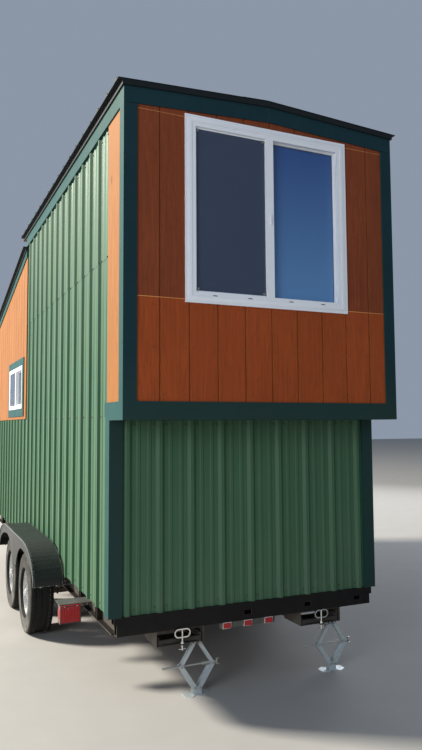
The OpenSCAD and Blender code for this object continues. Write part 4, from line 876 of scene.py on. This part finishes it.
def wheel_steel():
    rim_edge, cap_bead = hoop((0.0735, 0, 0), AXLE, 0.2015, 0.0038, 72), hoop((0.090, 0, 0), AXLE, 0.0325, 0.0035, 32)
    dome = rod((0.0905, 0, 0), (0.097, 0, 0), 0.030, 32, 0.004)
    nut = rod((0, 0, 0), (0.017, 0, 0), 0.0135, 6, 0.0016)
    nuts = repeat(nut, [turn @ moved(0.0465, 0, 0.05715) for turn in spokes(5)])
    vents = repeat(hoop((0, 0, 0), AXLE, 0.0165, 0.0016, 20, 6),
                   [turn @ moved(0.0468, 0, 0.125) for turn in spokes(8, 0.5)])
    valve = rod((0.050, 0.152, 0.03), (0.083, 0.163, 0.032), 0.0048, 12, 0.001)
    return join([rim_edge, cap_bead, dome, nuts, vents, valve])


def tyre_rubber():
    rings = [hoop((s * 0.1006, 0, 0), AXLE, radius, thickness, 72, 6)
             for s in (-1, 1) for radius, thickness in ((0.232, 0.0018), (0.292, 0.0024))]
    lug = block((-0.017, -0.0085, -0.004), (0.017, 0.0085, 0.0035), 0.0015)
    pairs = zip(spokes(56), spokes(56, 0.5))
    places = [turn @ moved(s * 0.081, 0, 0.3415) @ turned(s * 0.62, "Y")
              for pair in pairs for s, turn in zip((-1, 1), pair)]
    return join([*rings, repeat(lug, places)])


AXLES_Y, AXLE_GAP, HUB_Z, TYRE_X = -1.0055, 0.922, 0.348, 1.1525
for make, kind, slot in ((wheel_steel, "hardware", "rim_steel"), (tyre_rubber, "lugs", "tyre")):
    model = make()
    for side, side_name in ((-1, "left"), (1, "right")):
        for end, end_name in ((-1, "rear"), (1, "front")):
            hub = moved(side * TYRE_X, AXLES_Y + end * AXLE_GAP / 2, HUB_Z)
            twin = copy_at(model, hub if side > 0 else hub @ turned(math.pi, "Z"))
            wheel = side_name + "_" + end_name + "_wheel"
            settle(twin, wheel + "_" + kind, slot, body=wheel)
    bpy.data.objects.remove(model)
print("wheel sets:", sum("_wheel_" in n for n in made_pieces))

# %% [markdown]
# ## Lamps
# The tail lamps are red boxes with fluted lenses in a thin dark rim, and a small reflector faces sideways. Three
# clearance lamps sit in bright rims under the header. The flutes are thin rounded bars on the face of the lens.

# %% Tail and clearance lamps
LAMP_Y, LAMP_IN, LAMP_OUT, LAMP_Z0, LAMP_Z1 = -2.8005, 1.055, 1.207, 0.409, 0.535
FLUTES, FLUTE_PITCH = 11, 0.012
lenses, rims, studs = [], [], []
for s in (-1, 1):
    x0, x1 = sorted((s * LAMP_IN, s * LAMP_OUT))
    for i in range(FLUTES):
        x = x0 + 0.016 + i * FLUTE_PITCH
        lenses.append(rod((x, LAMP_Y, LAMP_Z0 + 0.014), (x, LAMP_Y, LAMP_Z1 - 0.014), 0.0042, 10, 0.001))
    rims.append(ring((x0, LAMP_Z0), (x1, LAMP_Z1), 0.007, LAMP_Y + 0.004, 0.007, "-y", 0.0015))
    stud_z = LAMP_Z1 - 0.0045
    studs += [rod((x, LAMP_Y - 0.003, stud_z), (x, LAMP_Y - 0.005, stud_z), 0.003, 10) for x in (x0 + 0.03, x1 - 0.03)]
    lenses.append(block((s * LAMP_OUT - 0.003, LAMP_Y + 0.032, LAMP_Z0 + 0.03),
                        (s * LAMP_OUT + 0.003, LAMP_Y + 0.068, LAMP_Z1 - 0.03), 0.002))
settle(join(lenses), "tail_lens_flutes", "red_lens")
settle(join(rims), "tail_lamp_rims", "bracket_paint", "gasket_black")
settle(join(studs), "tail_lamp_screws", "chrome")
BAR_X, BAR_PITCH, BAR_HALF = -0.05, 0.162, 0.0335
clearance = [ring((BAR_X + i * BAR_PITCH - BAR_HALF, 0.4435), (BAR_X + i * BAR_PITCH + BAR_HALF, 0.4875),
                  0.006, DECK_Y, 0.011, "-y", 0.0015) for i in (-1, 0, 1)]
settle(join(clearance), "clearance_lamp_rims", "chrome")
print("lamp pieces:", made_pieces[-4:])

# %% [markdown]
# ## Scissor jacks
# The arms turn on riveted pins. Each pin shows a domed head on both sides, and rides with the part that holds
# the pin: the pocket's head, the foot, the nut or the screw.

# %% Pin heads on the jacks
PIVOT_HALF, SIDE_PIVOT, JACK_Y = 0.018, 0.117499, REAR_Y + 0.42
TOP_Z, SIDE_Z, FOOT_Z = 0.345, 0.195, 0.045


def pin_heads(places, reach):
    model = rod((0, 0, 0), (0, 0, 0.0032), 0.0085, 20, 0.0012)
    return repeat(model, [on_wall(x, JACK_Y + s * reach, z, "+y" if s > 0 else "-y")
                          for x, z in places for s in (-1, 1)])


for jack_x, side in ((-0.388, "left"), (0.715, "right")):
    jack = side + "_jack_"
    pair = (jack_x - PIVOT_HALF, jack_x + PIVOT_HALF)
    top_pins = pin_heads([(x, TOP_Z) for x in pair], 0.0215)
    settle(top_pins, jack + "top_pin_heads", "ramp_paint", "screw_zinc")
    for holder, places in (("foot", [(x, FOOT_Z) for x in pair]), ("nut", [(jack_x - SIDE_PIVOT, SIDE_Z)]),
                           ("screw", [(jack_x + SIDE_PIVOT, SIDE_Z)])):
        pins = pin_heads(places, 0.023)
        settle(pins, jack + holder + "_pin_heads", "galvanised_steel", "screw_zinc", jack + holder)
print("jack pieces:", [n for n in made_pieces if "_jack_" in n])

# %% [markdown]
# ## Roof, fenders and running gear
# A folded cap closes the ridge of the raised roof over the rib tops, with foam strips under its ends, and screws
# hold the sheets. A rolled edge runs along each fender: a circle is extruded step by step along the fender's own
# curve and turned at each step. The fenders are bolted to their arms. Each spring is clamped to its axle by
# U-bolts, which are a circle spun half round, with legs and nuts.

# %% Ridge cap and roof screws
RIDGE_Z = EAVE_Z + RIDGE_RISE + 0.040 + RIB
FOLD, CAP_HALF, FOAM_L, LOW_SLOPE, LOW_ROOF_Z = 0.0015, 0.19, 0.025, 0.2, 3.885
roof_ribs = [REAR_Y - 0.015 + 0.062 + END_RIB_PITCH * i for i in range(18)]
cap, closures = [], []
for s in (-1, 1):
    lean = math.atan(SLOPE) if s > 0 else math.pi - math.atan(SLOPE)
    to_ridge = moved(0, 0, RIDGE_Z + 0.0016) @ turned(lean, "Y")
    low_z, high_z = (-FOLD, 0) if s > 0 else (0, FOLD)
    cap.append(block((0, REAR_Y + 0.020, low_z), (CAP_HALF, STEP_Y + 0.150, high_z), 0.0005))
    low_z, high_z = (-RIB, -FOLD) if s > 0 else (FOLD, RIB)
    foams = [block((0, y, low_z), (CAP_HALF - 0.002, y + FOAM_L, high_z), 0.0005)
             for y in (REAR_Y + 0.022, STEP_Y + 0.123)]
    closures += foams
    for leaf in (cap[-1], *foams):
        leaf.matrix_world = to_ridge
        bake(leaf)
settle(join(cap), "ridge_cap", "roof_metal")
settle(join(closures), "ridge_closures", "roof_metal", "gasket_black")
roof_places = [moved(s * x, y, RIDGE_Z - SLOPE * x) for y in roof_ribs for s in (-1, 1) for x in (0.13, 0.6, 1.0)]
settle(repeat(sheet_screw(), roof_places), "raised_roof_screws", "roof_metal", "screw_black")
low_places = [moved(x, STEP_Y + d, LOW_ROOF_Z + RIB - LOW_SLOPE * d + 0.0003) @ turned(-math.atan(LOW_SLOPE), "X")
              for x in end_ribs for d in (0.25, 0.9, 1.6, 2.3)]
settle(repeat(sheet_screw(), low_places), "lower_roof_screws", "roof_metal", "screw_black")
print("roof screws:", len(roof_places) + len(low_places))

# %% The rolled edge of each fender
FENDER_TOP, BEND_L, BEND_H, FENDER_END, SKIRT_Z, EDGE_X = 0.820, 0.600, 0.250, 1.115, 0.533, 1.2865


def fender_path(steps=14):
    angles = [i * QUARTER / steps for i in range(steps + 1)]
    arc = [(FENDER_END - BEND_L + BEND_L * math.sin(a), FENDER_TOP - BEND_H + BEND_H * math.cos(a)) for a in angles]
    return [(FENDER_END, SKIRT_Z), *arc[::-1], *[(-y, z) for y, z in arc], (-FENDER_END, SKIRT_Z)]


def rolled_edge(x, radius=0.0055):
    path = [Vector((x, AXLES_Y + y, z)) for y, z in fender_path()]
    ways = [(b - a).normalized() for a, b in zip(path, path[1:])]
    aims = [ways[0], *[(a + b).normalized() for a, b in zip(ways, ways[1:])], ways[-1]]
    deselect()
    bpy.ops.mesh.primitive_circle_add(vertices=8, radius=radius, location=path[0], fill_type="NGON",
                                      rotation=aims[0].to_track_quat("Z", "Y").to_euler())
    edge = bpy.context.object
    bake(edge)
    edit()
    for here, there, aim, next_aim in zip(path, path[1:], aims, aims[1:]):
        bpy.ops.mesh.extrude_region_move(TRANSFORM_OT_translate={"value": there - here})
        turn = math.atan2(next_aim.z, next_aim.y) - math.atan2(aim.z, aim.y)
        bpy.ops.transform.rotate(value=-turn, orient_axis="X", center_override=there)
    close_edit()
    return edge


settle(join([rolled_edge(-EDGE_X), rolled_edge(EDGE_X)]), "fender_rolled_edges", "fender_paint", "fender_edge_wear_and_highlight")

# %% Fender bolts and spring clamps
BOLT_X, BOLT_Z, SPRING_X, U_BOLT_R, U_BOLT_ROD = (1.09, 1.22), 0.530, 0.9865, 0.0355, 0.0055
ENDS = [(s, end) for s in (-1, 1) for end in (-1, 1)]
bolts = [moved(s * x, AXLES_Y + end * (FENDER_END - 0.025), BOLT_Z) @ turned(math.pi, "X")
         for s, end in ENDS for x in BOLT_X]
bolt = join([rod((0, 0, 0), (0, 0, 0.002), 0.012, 20), rod((0, 0, 0.002), (0, 0, 0.009), 0.0095, 6, 0.001)])
settle(repeat(bolt, bolts), "fender_bolts", "fender_paint", "screw_zinc")


def spring_clamp():
    deselect()
    bpy.ops.mesh.primitive_circle_add(vertices=10, radius=U_BOLT_ROD, location=(0, U_BOLT_R, 0), fill_type="NGON")
    clamp = bpy.context.object
    bake(clamp)
    edit()
    bpy.ops.mesh.spin(steps=12, angle=math.pi, center=(0, 0, 0), axis=(1, 0, 0))
    bpy.ops.mesh.select_all(action="SELECT")
    bpy.ops.mesh.remove_doubles(threshold=0.0001)
    close_edit()
    legs = [rod((0, s * U_BOLT_R, -0.002), (0, s * U_BOLT_R, 0.090), U_BOLT_ROD, 10, 0.001) for s in (-1, 1)]
    nuts = [rod((0, s * U_BOLT_R, 0.078), (0, s * U_BOLT_R, 0.087), 0.0095, 6, 0.001) for s in (-1, 1)]
    return join([clamp, *legs, *nuts])


clamps = [moved(s * SPRING_X + dx, AXLES_Y + end * AXLE_GAP / 2, HUB_Z) for s, end in ENDS for dx in (-0.03, 0.03)]
settle(repeat(spring_clamp(), clamps), "spring_clamps", "spring_steel")
print("bolts and clamps:", len(bolts), len(clamps))

# %% [markdown]
# ## Door and tongue
# The photograph doesn't show the door or the tongue. They get what such a house has: three hinges, a sill, a
# round plate behind the knob, raised beads on the door, a latch on the coupler, bolts through its plate, and
# collars and a grip on the jack's crank.

# %% Door and tongue hardware
DOOR_X, DOOR_Y0, DOOR_Y1, DOOR_Z0, DOOR_H = BODY_X - 0.010, 0.8875, 1.7075, 0.621, 2.02
DOOR_W, KNOB_Y, KNOB_Z, LOCK_Z, HINGE_L = 0.82, 1.6419, 1.5502, 1.68, 0.10
hinges = []
for z in (0.83, 1.60, 2.38):
    hinges += [rod((DOOR_X + 0.006, DOOR_Y0, z), (DOOR_X + 0.006, DOOR_Y0, z + HINGE_L), 0.0065, 16, 0.001),
               block((DOOR_X, DOOR_Y0, z), (DOOR_X + 0.003, DOOR_Y0 + 0.04, z + HINGE_L), 0.001)]
hinges += [rod((DOOR_X, KNOB_Y, KNOB_Z), (DOOR_X + 0.004, KNOB_Y, KNOB_Z), 0.034, 32, 0.0015),
           rod((DOOR_X, KNOB_Y, LOCK_Z), (DOOR_X + 0.009, KNOB_Y, LOCK_Z), 0.027, 32, 0.003)]
settle(join(hinges), "door_hinges_and_plates", "chrome", "screw_zinc")
sill = block((DOOR_X - 0.03, DOOR_Y0, DOOR_Z0 - 0.018), (BODY_X + 0.02, DOOR_Y1, DOOR_Z0 + 0.004), 0.002)
settle(sill, "door_sill", "galvanised_steel")
beads = [ring((DOOR_Y0 + 0.18 * DOOR_W, DOOR_Z0 + low * DOOR_H), (DOOR_Y0 + 0.82 * DOOR_W, DOOR_Z0 + high * DOOR_H),
              0.016, DOOR_X - 0.001, 0.007, "-x", 0.002) for low, high in ((0.06, 0.42), (0.50, 0.92))]
settle(join(beads), "door_panel_beads", "door_paint")
POST_Y, PLATE_Z = FRONT_Y + 0.55 * 1.22, 0.609
bolt_spots = [(x, TIP_Y - 0.29) for x in (-0.03, 0.03)]
bolt_spots += [(x, POST_Y + dy) for x in (-0.10, 0.10) for dy in (-0.035, 0.035)]
tongue_bits = [rod((x, y, PLATE_Z), (x, y, PLATE_Z + 0.011), 0.0105, 6, 0.001) for x, y in bolt_spots]
tongue_bits += [block((-0.011, TIP_Y - 0.21, 0.532), (0.011, TIP_Y - 0.10, 0.553), 0.004),
                block((-0.011, TIP_Y - 0.215, 0.532), (0.011, TIP_Y - 0.195, 0.60), 0.004)]
settle(join(tongue_bits), "tongue_bolts_and_latch", "coupler_steel")
collars = [hoop((0, POST_Y, z), (0, 0, 1), 0.0295, 0.0035, 32) for z in (1.235, 0.63, 0.43)]
settle(join(collars), "tongue_jack_collars", "jack_post")
grip = rod((0.170, POST_Y, 1.262), (0.170, POST_Y, 1.322), 0.0165, 20, 0.005)
settle(grip, "crank_grip", "tyre", "gasket_black")
print("pieces made:", len(made_pieces), made_pieces)
